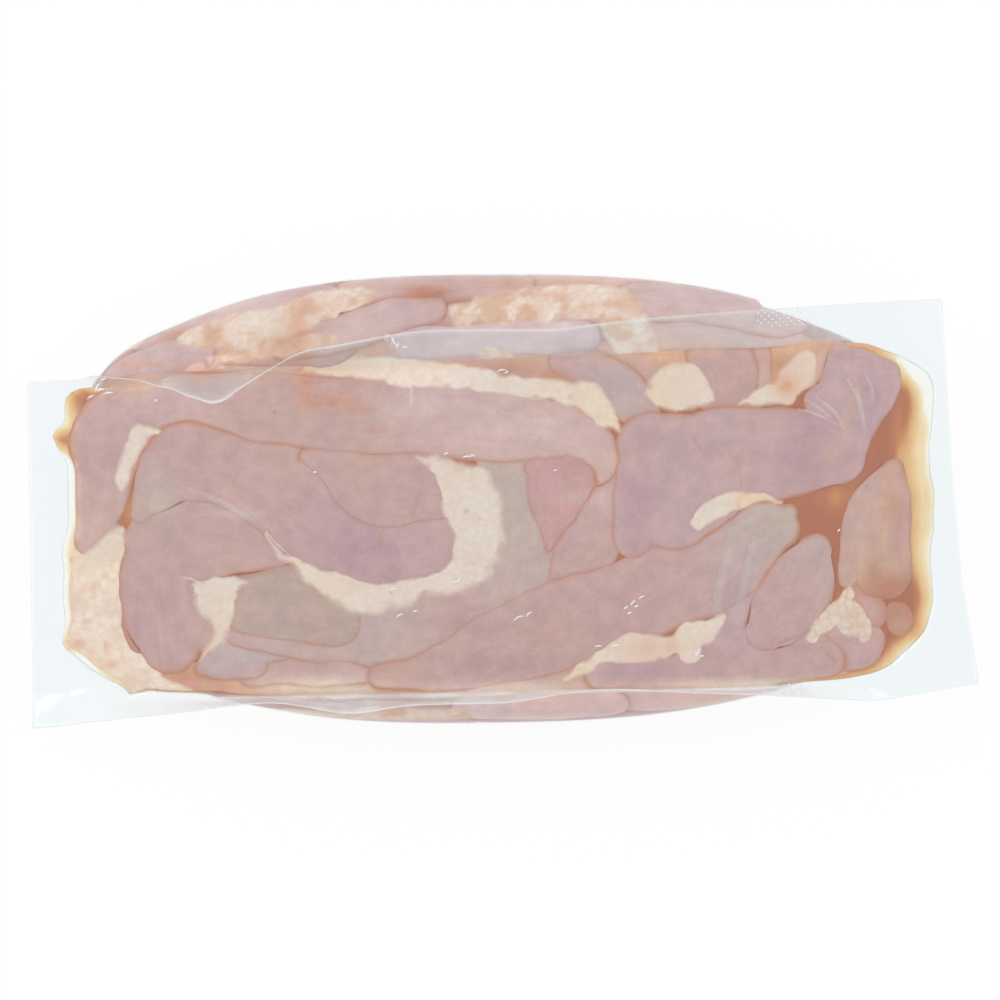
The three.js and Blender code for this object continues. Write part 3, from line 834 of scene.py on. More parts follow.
# Each stain: tint, strength, then x, y and the half-lengths along x and y
STAINS = [
    ("orange", 0.85, -57, 36, 2.5, 8), ("orange", 0.8, -49, 29.7, 9, 2.4),
    ("juice", 0.6, -40, 27.5, 6, 1.4), ("orange", 0.95, 15, 36.5, 5, 2.6),
    ("juice", 0.6, 3, 39.5, 9, 2.0), ("rose", 0.5, -12, 41, 5, 1.6), ("peach", 0.95, 47, 43.5, 8, 3),
    ("peach", 0.5, 60, 45.5, 9, 1.8), ("orange", 0.9, 80.5, 40, 3.2, 5), ("peach", 0.8, 88, 45.5, 7, 2),
    ("orange", 1.0, -87, 38.4, 7, 3.4), ("peach", 0.7, -106, 40.8, 9, 1.5),
    ("peach", 0.95, -123, 32.5, 4.5, 5), ("peach", 0.9, -128, 18, 3.5, 3.5),
    ("peach", 0.45, -124, 4, 2.0, 14), ("violet", 0.3, 107, 16, 2.5, 9), ("violet", 0.3, 108, 33, 4, 7),
    ("violet", 0.3, 84, 12, 9, 8), ("violet", 0.25, 60, 18, 10, 5),
    ("magenta", 0.45, 41.6, 17.4, 4.5, 3), ("magenta", 0.45, 41, -12.5, 5, 2.5),
    ("violet", 0.25, 38, 2, 5, 8), ("violet", 0.3, -42, -13, 8, 5), ("violet", 0.2, -27, -15, 8, 4),
    ("rose", 0.35, 66, 38, 4, 4), ("green", 0.7, -100, 2, 6, 8), ("green", 0.4, 80, -5, 5, 6),
    ("deep", 0.35, 14, -36, 13, 7), ("green", 0.25, 6, -8, 4, 11), ("tan", 0.3, 15, -36, 10, 5),
    ("tan", 0.6, 102.5, 32, 1.2, 6), ("tan", 0.6, 99.6, 23, 1.3, 5), ("tan", 0.4, 95.5, 16, 2.0, 3),
    ("pale", 0.4, -24, 28, 16, 3.5), ("pale", 0.3, 8, 22, 14, 4), ("pale", 0.3, 24, 2, 9, 2.5),
    ("peach", 0.35, 17, -1.5, 3, 3), ("orange", 0.95, -92, -50.3, 6, 3),
    ("orange", 0.7, -79, -53, 8, 1.3), ("cream", 0.95, -52, -53, 18, 2.6),
    ("cream", 0.75, 2, -53.8, 24, 1.8), ("cream", 0.8, 72, -52.4, 26, 1.6),
    ("deep", 0.5, 0, -46.5, 14, 3), ("tan", 0.8, 110.3, -4, 2.0, 13), ("rose", 0.4, 114.8, -13, 2.2, 4),
    ("tan", 0.4, 104.5, -14, 1.6, 8), ("tan", 0.7, 114, 2, 4, 7), ("rust", 0.55, 113, -24, 6, 3.4),
    ("rust", 0.3, 114, -2, 3, 8), ("juice", 0.5, 107.5, -19, 2.5, 3.5), ("rose", 0.3, 40, -27, 11, 5),
    ("rose", 0.35, 62, -45, 7, 4), ("deep", 0.4, -12, -34, 9, 4), ("magenta", 0.35, 40.5, 0, 5, 9),
    ("tan", 0.4, 104, 1, 3, 6), ("dark", 0.8, -65.7, 26.4, 0.4, 0.4),
    ("dark", 0.5, -1, 26.5, 0.35, 0.35), ("pale", 0.3, -77, -3, 10, 1.5),
    ("rust", 0.95, -22, 62, 8, 2.4), ("orange", 0.6, 2, 65, 16, 1.7), ("orange", 0.8, -59, 52, 4.5, 8),
    ("orange", 0.7, -74, 46.5, 8, 1.4), ("peach", 0.6, -45, 60.5, 5, 2.5),
    ("orange", 0.8, -95, 49.5, 6, 2.5), ("pale", 0.5, -70, 58.5, 11, 3), ("pale", 0.5, 70, 50, 10, 3),
    ("peach", 0.5, 23, 65, 10, 1.6),
]
FAT_STAINS = [
    ("grey", 0.75, -10.2, -2.1, 0.7, 0.7), ("vein", 0.6, -6.2, -4.3, 0.6, 0.5),
    ("vein", 0.5, -8.5, -17, 0.6, 0.4), ("rose", 0.8, -84.3, -36, 0.8, 2.2),
    ("vein", 0.7, -32, -25.6, 0.7, 0.5), ("vein", 0.8, -122.5, -40.5, 2.4, 1.6),
    ("vein", 0.6, -113, -46.5, 2.4, 1.2), ("vein", 0.5, -118, -25, 0.7, 2.4),
    ("vein", 0.4, -120, -34, 2.5, 0.7), ("vein", 0.5, -114.5, -41, 0.6, 2.5),
    ("vein", 1.0, 82.4, 34.2, 3.2, 3.2), ("vein", 0.5, 68.5, -0.5, 0.8, 2.4),
    ("vein", 0.6, 20, 31, 0.9, 0.7), ("vein", 0.5, 49, -40.5, 2.0, 2.5),
    ("vein", 0.8, -59.5, 52, 3.5, 8), ("vein", 0.5, -3, 41.5, 4, 1.2), ("vein", 0.5, 0, 61.5, 12, 1.6),
    ("vein", 0.6, 46, 41.5, 5, 2), ("tan", 0.4, 101, -33, 5, 5), ("tan", 0.4, 42, -41.5, 4, 2),
    ("vein", 0.5, 8.4, 57, 3, 2), ("vein", 0.4, -1.6, 54.4, 3, 1.6), ("vein", 0.7, 32, 58.4, 5, 1.3),
    ("vein", 0.5, 24, 57, 2.5, 2.5), ("vein", 0.5, 16, 61, 6, 1.4), ("vein", 0.8, -84, 48, 4, 5),
    ("rust", 0.55, -64, 47, 8, 2.6), ("vein", 0.4, -52, 58, 8, 4), ("vein", 0.45, 36, 58, 3.5, 4),
]


def tint_along(names, palette, run):
    """Colour at each row of a loop, blended between its named tints."""
    codes = np.array([linear(palette[name])[:3] for name in names])
    place = run / max(run[-1], 1e-6) * (len(names) - 1)
    return np.stack([np.interp(place, np.arange(len(names)), codes[:, k]) for k in range(3)], axis=1)


def blend(colour, code, share):
    """Colours moved towards another by a share for each point."""
    return colour + (np.array(linear(code)[:3]) - colour) * np.asarray(share)[..., None]


def stained(colour, x, y, stains):
    """Colours of points of the plan with stains laid on."""
    for name, strength, middle_x, middle_y, half_x, half_y in stains:
        away = ((x - middle_x) / half_x) ** 2 + ((y - middle_y) / half_y) ** 2
        colour = blend(colour, STAIN_TINT[name], strength * np.exp(-away))
    return colour


print("tints:", len(TISSUE), "of tissue,", len(FAT_TINT), "of fat; stains:", len(STAINS + FAT_STAINS))

# %% [markdown]
# ## Loops on the pressed face
# These are the loops that the face shows, from the one in front to the ones behind. Each has its lap, which
# is how far it runs on under the loops in front of it, the tints along its length, and a route of x, y and
# half-width in millimetres on the plan of the face. Parts that share a name before the dot are one loop.

# %% Loops in front
LOOPS_FRONT = [
    ("middle_rose", 0.2, ["rose"],
     [(15.6, 6, 7.4), (16, 2, 7.4), (15.6, -3, 5.4), (14.9, -8, 3.1), (13.7, -13.5, 0.7)]),
    ("middle_rose.tip", 0.2, ["rose"], [(19, 9, 5), (23, 8.6, 3), (26, 6, 0.8)]),
    ("middle_rose.right", 0.2, ["rose"], [(20, 2.5, 5), (24, 5, 2.4), (26.5, 5.6, 0.7)]),
    ("middle_rose.left", 0.2, ["rose"], [(9, 10.4, 2), (13, 9, 4.5)]),
    ("long_top", 0.4, ["pink", "mauve", "pink", "mauve", "mauve", "pink", "pink", "pink"],
     [(-119.3, -11, 3.8), (-118.4, -5, 5.5), (-116.8, 1, 7.2), (-115.6, 9, 8.6), (-113.5, 20, 10.8),
      (-106, 28.5, 9), (-92, 31, 7), (-75, 29, 9), (-55, 26, 10), (-30, 25, 10), (0, 22.5, 9.5),
      (18, 20.5, 7.6), (26.4, 16.4, 6.4), (28.2, 11, 4.2), (27.6, 8.2, 2.7), (26.6, 6.2, 0.8)]),
    ("broad_right", 0.2, ["lilac", "violet", "lilac", "lilac", "lilac", "lilac"],
     [(97, 14.5, 8), (90, 15, 11.3), (78, 14.3, 13), (66, 13, 14.8), (57, 9, 16.6), (49, 1.5, 14.6)]),
    ("broad_right.left", 0.2, ["lilac"],
     [(38.4, -9.4, 5.5), (40.4, 0, 7.6), (41, 9, 8.2), (42.6, 17, 9.3)]),
    ("broad_right.fold", 0.2, ["lilac"],
     [(104.5, 44, 8.4), (104, 36, 11), (99, 24, 9), (97, 15, 8)]),
    ("broad_right.top", 0.2, ["lilac"], [(45, 17, 8.6), (51, 16.6, 9.6), (58, 16, 10.6)]),
    ("broad_right.neck", 0.2, ["lilac"], [(93, 29.5, 5.2), (99, 31, 9)]),
    ("lower_bend", 0.3, ["grey", "mauve", "mauve"],
     [(90.5, -13, 4.4), (88.4, -19, 8.4), (85, -26, 9.8), (80, -33, 8.3), (76, -37.5, 4.5)]),
    ("long_lower", 0.8, ["green", "grey", "mauve", "mauve", "mauve", "mauve", "mauve", "mauve", "rose"],
     [(79, -6.5, 6), (73, -11, 9.8), (62, -18, 11.5), (45, -25, 11.5), (28, -31, 11.5), (12, -37, 12),
      (-4, -43, 9), (-20, -48.5, 5.5), (-35, -50, 3)]),
    ("long_lower.tip", 0.4, ["green"], [(80, -5, 4.4), (83, -2.6, 2.2)]),
    ("long_lower.top", 0.4, ["green"], [(59, -10, 5), (66, -5.4, 5.4), (76, -3, 4.5)]),
]

# %% Loops of the left half
LOOPS_LEFT = [
    ("inner_upper", 0.3, ["mauve"],
     [(-57, 13.4, 1.6), (-48, 11, 5.6), (-40, 6, 9), (-33, 4, 10.8), (-26, 4.6, 9.6), (-19, 4.6, 9)]),
    ("broad_diagonal", 0.4, ["mauve", "mauve", "mauve", "mauve", "violet", "violet"],
     [(-92.5, 12.5, 10.8), (-80, 11.3, 12), (-65, 4.5, 12.5), (-52, -6, 12.5), (-42, -13, 10.5),
      (-36, -17, 8)]),
    ("broad_diagonal.end", 0.4, ["mauve"],
     [(-105, -3, 2.2), (-102.3, 1.5, 4.6), (-98, 7, 8.2), (-94, 11, 10.8)]),
    ("broad_diagonal.inner", 0.8, ["violet", "lilac", "mauve"],
     [(-33, -14.5, 8), (-25, -13, 8.8), (-15, -12, 7)]),
    ("left_hook", 1.4, ["mauve"],
     [(-66, -12, 5.4), (-78, -9.5, 9.5), (-90, -11, 12), (-97, -20, 12), (-97, -32, 11), (-96, -41, 7)]),
    ("left_hook.corner", 1.4, ["mauve"], [(-103, -10.6, 5.2), (-97, -7, 8.2), (-89, -3.4, 8.4)]),
    ("left_hook.under", 1.4, ["mauve"], [(-86, -29, 5), (-86.5, -38, 3.5)]),
    ("gall_stained", 1.2, ["gall"], [(-72, -29, 7.5), (-60, -29, 9), (-48, -34, 6)]),
]

# %% Loops behind the others
LOOPS_BEHIND = [
    ("grey_return", 2.0, ["lilac", "grey", "grey", "mauve", "grey", "green", "grey"],
     [(-76, -37.5, 2), (-60, -39, 3.5), (-45, -37.5, 6.5), (-30, -38, 8), (-15, -34.5, 8), (0, -29, 7.5),
      (6, -12, 7), (4, 0, 6.5), (2, 10, 7), (2, 15, 7)]),
    ("small_grey", 1.2, ["ash"], [(-80.5, -42.6, 2.6), (-73, -42, 3.8), (-64, -42.8, 1.2)]),
    ("small_grey.low", 0.8, ["ash", "lilac"], [(-85.5, -47.6, 2.2), (-79.5, -47, 4), (-72, -47, 3)]),
    ("low_pink", 1.8, ["pink", "mauve", "pink"],
     [(-72, -49, 2.5), (-63, -47, 3.8), (-50, -47.3, 3.6), (-41, -47.5, 3)]),
    ("top_grey", 1.2, ["lilac", "grey", "grey"],
     [(18, 41, 3), (28, 38.5, 4), (35, 33, 5.5), (40, 27.5, 4)]),
    ("top_mauve", 1.6, ["mauve", "mauve", "rose"], [(62, 43.5, 7), (64.5, 38, 8.5), (65.5, 32, 6.5)]),
    ("top_small", 1.4, ["mauve", "pink"], [(74.5, 43, 3), (73.8, 36, 3.6)]),
    ("middle_pink", 2.0, ["pink", "mauve", "mauve"],
     [(27, 3, 6.5), (26, -6, 8), (21, -14, 8), (14, -20, 5)]),
    ("low.violet", 2.0, ["lilac", "violet", "lilac", "lilac"],
     [(28, -50, 2), (50, -49, 3), (61, -45, 7), (68, -39, 7.5), (71.5, -31.5, 5.2)]),
    ("low.mauve", 2.0, ["lilac", "mauve", "mauve"],
     [(62, -48.5, 3), (75, -46.5, 5.5), (86, -44, 6.5), (93, -45.5, 4.5)]),
    ("corner_mauve", 1.4, ["mauve", "lilac", "rose"], [(98, -40.5, 4), (103, -42.5, 5), (106.5, -39, 3)]),
    ("dark_sliver", 0.6, ["ash", "lilac"], [(-107, -28, 1.5), (-106.8, -35, 2.6), (-105, -41, 2)]),
    ("right_tissue", 0.2, ["tan", "mauve", "mauve", "tan", "brown"],
     [(113.6, 10.6, 2.4), (111.4, 4.6, 6), (109, -3, 9), (108.8, -12, 9.2), (110.5, -20, 7.5)]),
    ("right_tissue.low", 0.2, ["mauve", "tan"], [(103.8, -12, 5), (101.4, -19, 2.8), (100.9, -21.5, 2.2)]),
]
# Loops that lie in the juice at the right end
LOOPS_SUNK = [
    ("sunk_tan", 0.2, ["brown", "tan"], [(115.2, -32, 3.6), (116, -34.4, 3.6)]),
    ("sunk_lobe", 0.2, ["rose", "lilac"], [(105.2, -26.5, 3.6), (107.4, -31, 4.2)]),
]
# Loops that only show as a band along the top and the bottom of the face
LOOPS_UNDER = [
    ("under_top", 0.0, ["mauve", "peach", "mauve", "tan", "rose", "tan", "lilac", "peach", "peach", "pink"],
     [(-110, 34, 6), (-60, 40, 7), (0, 42, 7), (50, 42, 8), (80, 41, 9), (98, 46, 7)]),
    ("under_bottom", 0.0, ["peach", "peach", "tan", "pink", "tan", "peach", "peach"],
     [(-105, -51, 5), (-50, -51, 5), (20, -52, 5), (70, -50, 5), (104, -46, 5)]),
]
print("loops on the face:", len(LOOPS_FRONT + LOOPS_LEFT + LOOPS_BEHIND + LOOPS_SUNK + LOOPS_UNDER))

# %% [markdown]
# ## Fat on the pressed face
# The fat that ran along the gut lies between the loops in cream ribbons and crumbs. It is softer than the
# gut and squeezes into every gap, so its edges are ragged and thin out over the gut. It is swept like a
# loop, with its rows shaken by noise, its top broken into lobules and its rim tinted like the wall below.

# %% Ribbons of fat
RIBBONS = [
    ("u_ribbon", 0.6, ["cream", "white", "white", "white", "cream", "cream"],
     [(-24, 13.4, 0.8), (-16, 10.8, 3), (-10.5, 6, 6.8), (-8.3, 0.6, 8.8), (-6.4, -5.6, 7.2),
      (-5.9, -11, 7), (-7.2, -16, 6.4), (-10.5, -20.6, 5.4), (-16, -23.4, 4), (-22, -24, 3.3),
      (-32, -27, 4.2), (-42, -27.6, 4.7), (-50, -23.5, 4), (-57, -19.5, 2.5), (-63, -15.5, 1),
      (-68, -8.5, 0.5)]),
    ("top_ribbon", 0.4, ["pinkish", "pale", "pale", "white", "cream", "yellow"],
     [(-55, 40, 2.5), (-45, 39.5, 3.8), (-30, 38.6, 4.4), (-15, 37.4, 4), (0, 35, 3), (10, 33.5, 2.9),
      (18, 32.5, 3.3), (25, 30.8, 4.6), (30, 26.5, 3.5), (33.4, 21.5, 1.3)]),
    ("under_right", 0.3, ["cream", "white", "yellow", "pinkish"],
     [(57, -5.2, 2), (61, -1.8, 3.2), (65.5, 0, 3.4), (70.5, 1, 2.4), (76, 1.4, 1.5), (81, 1, 0.5)]),
    ("lower_ribbon", 0.3, ["yellow", "cream", "pinkish", "cream", "cream"],
     [(18, -50.5, 0.7), (24, -48, 1.8), (30, -44.5, 2.5), (36, -42.5, 4), (43, -41.5, 4.5),
      (49, -40.5, 2.8), (55, -38.5, 4.5), (61, -35.5, 2.2), (65, -32, 1)]),
    ("lower_ribbon.lobe", 0.2, ["cream"], [(54.5, -41, 3.5), (54.5, -43, 3.6)]),
    ("left_pad", 0.3, ["white", "cream", "pinkish"],
     [(-83, -28, 6.6), (-81.4, -33, 4), (-81.4, -37, 2.9), (-83.5, -41, 1.8), (-87, -45.4, 0.6)]),
    ("left_pad.tip", 0.3, ["white"], [(-82, -24.6, 3.2), (-77, -23.2, 1.8), (-73.8, -22.2, 0.6)]),
    ("left_pad.left", 0.3, ["white"], [(-88, -24.4, 2.4), (-80, -24, 2.4), (-74.4, -22.3, 0.8)]),
    ("left_streak", 0.3, ["cream", "white", "cream"],
     [(-100.6, 21.4, 1.4), (-104, 20.4, 2.9), (-106.3, 16.6, 2.6), (-108.6, 11.5, 2.5), (-110, 7.6, 2.4),
      (-110.6, 4.6, 1.2)]),
    ("pad_crest", 0.3, ["peach", "cream", "cream"],
     [(-122.5, -17.4, 2.2), (-117.5, -16, 3.8), (-113, -12.8, 4.4), (-111, -8, 2)]),
    ("top_pad", 0.3, ["yellow", "cream", "cream", "white"],
     [(48.5, 33.6, 7), (52.5, 34.6, 6.8), (57, 32, 4), (61.2, 30.2, 0.9)]),
    ("top_lobe", 0.3, ["white", "cream", "pinkish"],
     [(68.5, 29.2, 0.8), (73, 30.6, 2.2), (78, 31.4, 3.4), (82.5, 31.5, 3.6)]),
    ("top_lobe.tail", 0.3, ["pinkish", "pinkish", "cream"],
     [(83, 33.5, 4), (86, 37.5, 4.6), (88.4, 41.5, 3.4)]),
]
CORNER_PAD = [
    ("corner_pad", 0.6, ["pale", "peach", "pale", "peach", "pale", "peach"],
     [(-110.3, -7, 1), (-113, -12, 3.4), (-117, -19, 9), (-118, -26, 12.5), (-118, -33, 13.5),
      (-116, -42, 13.5), (-110, -50, 10), (-100, -54, 4.4), (-90, -54.6, 1)]),
]
# Width of the thinning edge to the left and to the right of a ribbon's route
FEATHER = {
    "u_ribbon": (3.4, 1.2), "left_pad": (1.0, 3.2), "top_ribbon": (1.8, 1.4), "corner_pad": (1.2, 2.2),
    "pad_crest": (1.8, 1.8), "top_pad": (1.6, 1.6), "top_lobe": (1.6, 1.8), "left_streak": (1.2, 1.8),
    "belly_big": (2.6, 2.6), "belly_pale": (2.4, 2.4), "belly_left": (2.4, 2.4), "belly_low": (1.8, 1.8),
    "foot_side": (2.2, 2.2), "crumbs": (0.8, 0.8),
}
EVEN_FEATHER = (1.2, 1.2)

# %% Crumbs of fat
CRUMBS = [
    ("crumbs", 0.0, ["cream", "cream", "white", "cream"],
     [(100.8, -25.6, 2.4), (99.8, -29.5, 3.4), (101.5, -33.4, 5), (104.6, -37, 3)]),
    ("crumbs.left", 0.0, ["cream", "white"], [(90, -38.6, 2.2), (92.8, -35.6, 2.9), (97, -32, 3.2)]),
]
print("on the face:", len(RIBBONS + CORNER_PAD), "ribbons of fat and", len(CRUMBS), "clusters of crumbs")

# %% Tint and opacity of a strip
FRINGE = 1.6
FRINGE_TINT = "#E0B088"
FAT_SEAM_TINT = "#CC9E7C"
SEAM_WIDTH = 0.2
FRINGE_SIZE = 11.0
FRINGE_SEED = 95
DRIFT = 13.0
DRIFT_LAYERS = ((DRIFT, 1.0, 97), (DRIFT / 3, 0.4, 98))
DRIFT_SHARE = 0.22
VIOLET_DRIFT = "#AE8B9B"
TAN_DRIFT = "#CCA58D"
STAIN_LOW = 14.0
STAIN_FADE = 8.0
RAG_LAYERS = ((3.1, 0.4, 17), (1.4, 0.15, 18))


def strip_colours(points, seam, tints, kind, run, on_face):
    """Painted tint of a strip: along its length, drifting and stained, tan between the lobules of fat."""
    x, y = points[..., 0], points[..., 1]
    colour = np.broadcast_to(tint_along(tints, kind["palette"], run)[:, None, :], x.shape + (3,))
    if kind["ragged"]:
        colour = blend(colour, FAT_SEAM_TINT, kind["seams"] * np.exp(-(seam / SEAM_WIDTH) ** 2))
    else:
        drift = layered(x, y, DRIFT_LAYERS)
        colour = blend(colour, VIOLET_DRIFT, DRIFT_SHARE * np.clip(drift, 0, 1))
        colour = blend(colour, TAN_DRIFT, DRIFT_SHARE * np.clip(-drift, 0, 1))
    # Stains belong to what is seen from above, so they fade out down the side
    upper = np.clip((points[..., 2] - STAIN_LOW) / STAIN_FADE, 0, 1)[..., None]
    marked = stained(colour, x, y, FAT_STAINS if kind["ragged"] else STAINS)
    colour = colour + (marked - colour) * upper
    if on_face:
        # Juice stains the edge of the loops unevenly, and more at the ends than along the sides
        _, way_x, *_ = spoke_toward(x, y)
        uneven = np.clip(0.5 + 0.6 * soft_noise(x, y, FRINGE_SIZE, FRINGE_SEED), 0.1, 0.9)
        near_edge = np.exp(-np.maximum(inside_content(x, y), 0) / FRINGE)
        colour = blend(colour, FRINGE_TINT, uneven * (0.4 + 0.6 * way_x ** 2) * near_edge)
    return colour


def fat_opacity(x, y, inside, sideways, feather):
    """Fat is full inside and thins to nothing over its feathered edges."""
    on_left = 1 / (1 + np.exp(-sideways))
    width = feather[1] + (feather[0] - feather[1]) * on_left
    ragged = 1 + layered(x, y, RAG_LAYERS)
    return eased(np.clip(inside * ragged / width, 0, 1))


print("fat 0.5 mm inside a 1.2 mm feather covers",
      fat_opacity(*np.zeros((2, 1)), np.array([0.5]), np.zeros(1), EVEN_FEATHER).round(2)[0])

# %% Juice and folds in the creases
PATCH_LAYERS = ((17.0, 0.5, 90), (5.0, 0.2, 91))
# How much juice stands in the creases round a place: strength, x, y and the half-lengths along x and y
SOAKS = [
    (1.0, -101, 19, 6, 6), (1.0, -107, 8, 3, 9), (0.9, -93, 24.5, 5, 3), (1.0, -56, 14.5, 6, 2.5),
    (0.9, -109, -24, 3, 16), (0.85, -95, -47.5, 8, 3), (0.9, -77, -27, 3, 6), (0.8, -69, -20, 6, 3),
    (0.8, -60, -43, 6, 2), (1.0, 26.5, 6.5, 3, 3), (0.9, 34.5, 23, 4, 5), (0.85, 60, 29, 16, 2.5),
    (0.8, 84, 27.5, 8, 3), (0.9, 60, -9, 5, 4), (0.8, 76, -19, 6, 6), (0.05, -50, 8, 7, 7),
    (0.05, -75, -2.5, 12, 4), (0.12, -64, -37, 16, 3), (0.08, -79, -45, 7, 3), (0.1, -41, -12, 8, 8),
    (0.3, 42, -14.5, 8, 3), (0.02, 1, -6, 4, 14), (0.1, -3, -31, 9, 6), (0.1, -26, -31, 16, 4),
    (0.1, 71, -35, 6, 7), (0.5, 33, 2, 2, 14), (0.2, 10, -22, 4, 8),
]
# Folds inside a loop: strength and a route of x, y and half-width
FOLDS = [
    (0.45, [(-23.4, 5.5, 0.3), (-24.3, 0.5, 0.8), (-26.2, -4, 0.5)]),
    (0.5, [(-34.2, -7, 0.6), (-35, -11.5, 0.8), (-36, -16, 0.3)]),
    (0.2, [(-47, -12.3, 0.4), (-41, -13.6, 1.2), (-36, -13.8, 0.5)]),
    (0.2, [(-43, 10, 0.4), (-42, 6, 1.0), (-40.5, 2, 0.4)]),
    (0.25, [(34.7, 7.5, 0.3), (40, 5.5, 0.8), (42.6, 0, 0.8), (43.5, -5.6, 0.3)]),
    (0.5, [(54.6, 22, 0.3), (55.8, 18.4, 0.8), (59.5, 14, 0.7), (63.5, 9.5, 0.2)]),
    (0.35, [(67.5, 14, 0.2), (69, 9, 0.7), (69.5, 3, 0.4)]),
    (0.25, [(70.5, 10, 0.2), (72.5, 5.5, 0.9), (71, 1.5, 0.3)]),
    (0.6, [(76.2, -42.6, 0.3), (81.2, -40, 0.7), (88.1, -37.6, 0.5)]),
    (0.7, [(92.5, -41, 0.4), (95, -44, 0.8), (98.4, -47.3, 0.5)]),
    (0.5, [(94.4, -37.6, 0.4), (100, -39.6, 0.8), (105, -41, 0.4)]),
    (0.35, [(-46, 20.6, 0.3), (-36, 21.3, 1.1), (-27.5, 20.3, 0.3)]),
    (0.3, [(-60, -37.8, 0.4), (-50, -36, 0.9), (-42, -33.5, 0.3)]),
    (0.3, [(98, 20, 0.3), (93.5, 12, 0.9), (88.5, 7, 0.3)]),
    (0.25, [(104, 40, 0.3), (107.5, 33, 0.9), (106.5, 26, 0.3)]),
]
FOLD_DEPTH = 0.35
FOLD_STEP = 1.5


def crease_strength(x, y, on_face, least):
    """Share of juice that stands in the creases at points, patchy and set at some places of the face."""
    strength = 0.5 + layered(x, y, PATCH_LAYERS)
    for value, middle_x, middle_y, half_x, half_y in SOAKS if on_face else []:
        weight = np.exp(-((x - middle_x) / half_x) ** 2 - ((y - middle_y) / half_y) ** 2)
        strength = strength + (value - strength) * weight
    return np.clip(strength, least, 1)


def fold_marks(flat):
    """Share of a fold's juice at points of the plan."""
    marks = np.zeros(flat.shape[:-1])
    for strength, route in FOLDS:
        line = smooth_route(route, FOLD_STEP)
        share = np.clip(inside_route(line, flat) / line[:, 2].max(), 0, 1)
        marks = np.maximum(marks, strength * eased(share))
    return marks


print("folds:", len(FOLDS), "and places with more or less juice:", len(SOAKS))

# %% Pressing strips one behind the other
LINE_STEP = 3.0
TUCK = 0.6
TUCK_SLOPE = 0.9
PART_STEP = 0.05
PART_TUCK = 0.25
PART_EDGE = 2.2
# Each layer of noise has its size, its height and its seed
WANDER = ((9.0, 0.7, 21), (3.5, 0.2, 21))
RAGGED_SIZE = 3.2
OOZE_LAYERS = ((7.0, 0.9, 92), (2.6, 0.8, 93), (1.1, 0.5, 94))
OOZE_LEAST = 0.25
# Creases with more juice are wider: width with none, and what full juice adds
CREASE_SPREAD = (0.6, 0.7)
# Shift of the wrinkle pattern from one strip to the next
RUN_SHIFT = 7.3


def strip_depth(inside, own, kind, part):
    """Depth of a strip's top under the film: rolled at its outline, tucked past it and at its parts."""
    depth = kind["lip"] / kind["edge"] * rolled(np.maximum(inside, 0), kind["edge"])
    depth = depth + TUCK_SLOPE * np.maximum(-inside, 0) + PART_STEP * part
    covered = np.clip(2 * (inside - own), 0, 1)
    return depth + PART_TUCK * covered * np.clip(1 - own / PART_EDGE, 0, 1) ** 2


def press_strips(heap, strips, kind, fronts, seed, lay):
    """Sweeps strips in order, each pressed behind the ones before it, onto a heap."""
    outlines = [np.array(route, float) + np.array([0, 0, lap]) for name, lap, tints, route in strips]
    lines = [smooth_route(outline, LINE_STEP) for outline in outlines]
    loops = [name.split(".")[0] for name, lap, tints, route in strips]
    on_face = lay is lay_on_face
    for number, (name, lap, tints, route) in enumerate(strips):
        tucked = outlines[number] + np.array([0, 0, TUCK])
        flat, run, sideways, top = sweep(tucked, kind["step"], kind["step"])
        moved = flat.copy()
        for size, height, start in WANDER + ((RAGGED_SIZE, kind["ragged"], seed),):
            for axis in (0, 1):
                moved[..., axis] += height * soft_noise(flat[..., 0], flat[..., 1], size, start + axis)
        x, y = moved[..., 0], moved[..., 1]
        # Parts of the same loop share one outline and do not press on each other
        shares = [inside_route(line, flat) for line, loop in zip(lines, loops) if loop == loops[number]]
        inside = np.max(shares, axis=0)
        part = loops[:number].count(loops[number])
        own = shares[part]
        strength = crease_strength(x, y, on_face, kind["least"])
        spread = CREASE_SPREAD[0] + CREASE_SPREAD[1] * strength
        others = [front for front in fronts if front["loop"] != loops[number]]
        pushed, wet = push_down(flat, others, spread)
        lumps, seam = lobules(x, y, kind["lobule"], seed)
        depth = np.maximum(strip_depth(inside, own, kind, part) + kind["lumps"] * lumps, pushed)
        if kind["ragged"]:
            juice = kind["ooze"] * np.clip(OOZE_LEAST + layered(x, y, OOZE_LAYERS), 0, 1)
            opacity = fat_opacity(x, y, inside, sideways, FEATHER.get(loops[number], EVEN_FEATHER))
        else:
            juice = strength * np.maximum(soaked(np.maximum(inside, 0) / spread, kind["line"]), wet)
            opacity = np.ones(x.shape)
            if on_face:
                marks = fold_marks(moved)
                juice = np.maximum(juice, marks)
                depth = depth + FOLD_DEPTH * marks
        depth[:, top:] = UNDER_DEPTH + UNDER_BELLY * np.sqrt(1 - UNDER_ACROSS ** 2)
        points = lay(moved, depth)
        colour = strip_colours(points, seam, tints, kind, run, on_face)
        trail = [np.broadcast_to(run[:, None], x.shape), sideways, np.full(x.shape, RUN_SHIFT * number)]
        tint = np.concatenate([colour, opacity[..., None]], axis=-1)
        heap.add_strip(points, tint, juice, np.stack(trail, axis=-1))
        fronts.append({"line": lines[number], "kind": kind, "loop": loops[number]})


print("a strip wanders by", sum(height for size, height, start in WANDER), "mm at most")

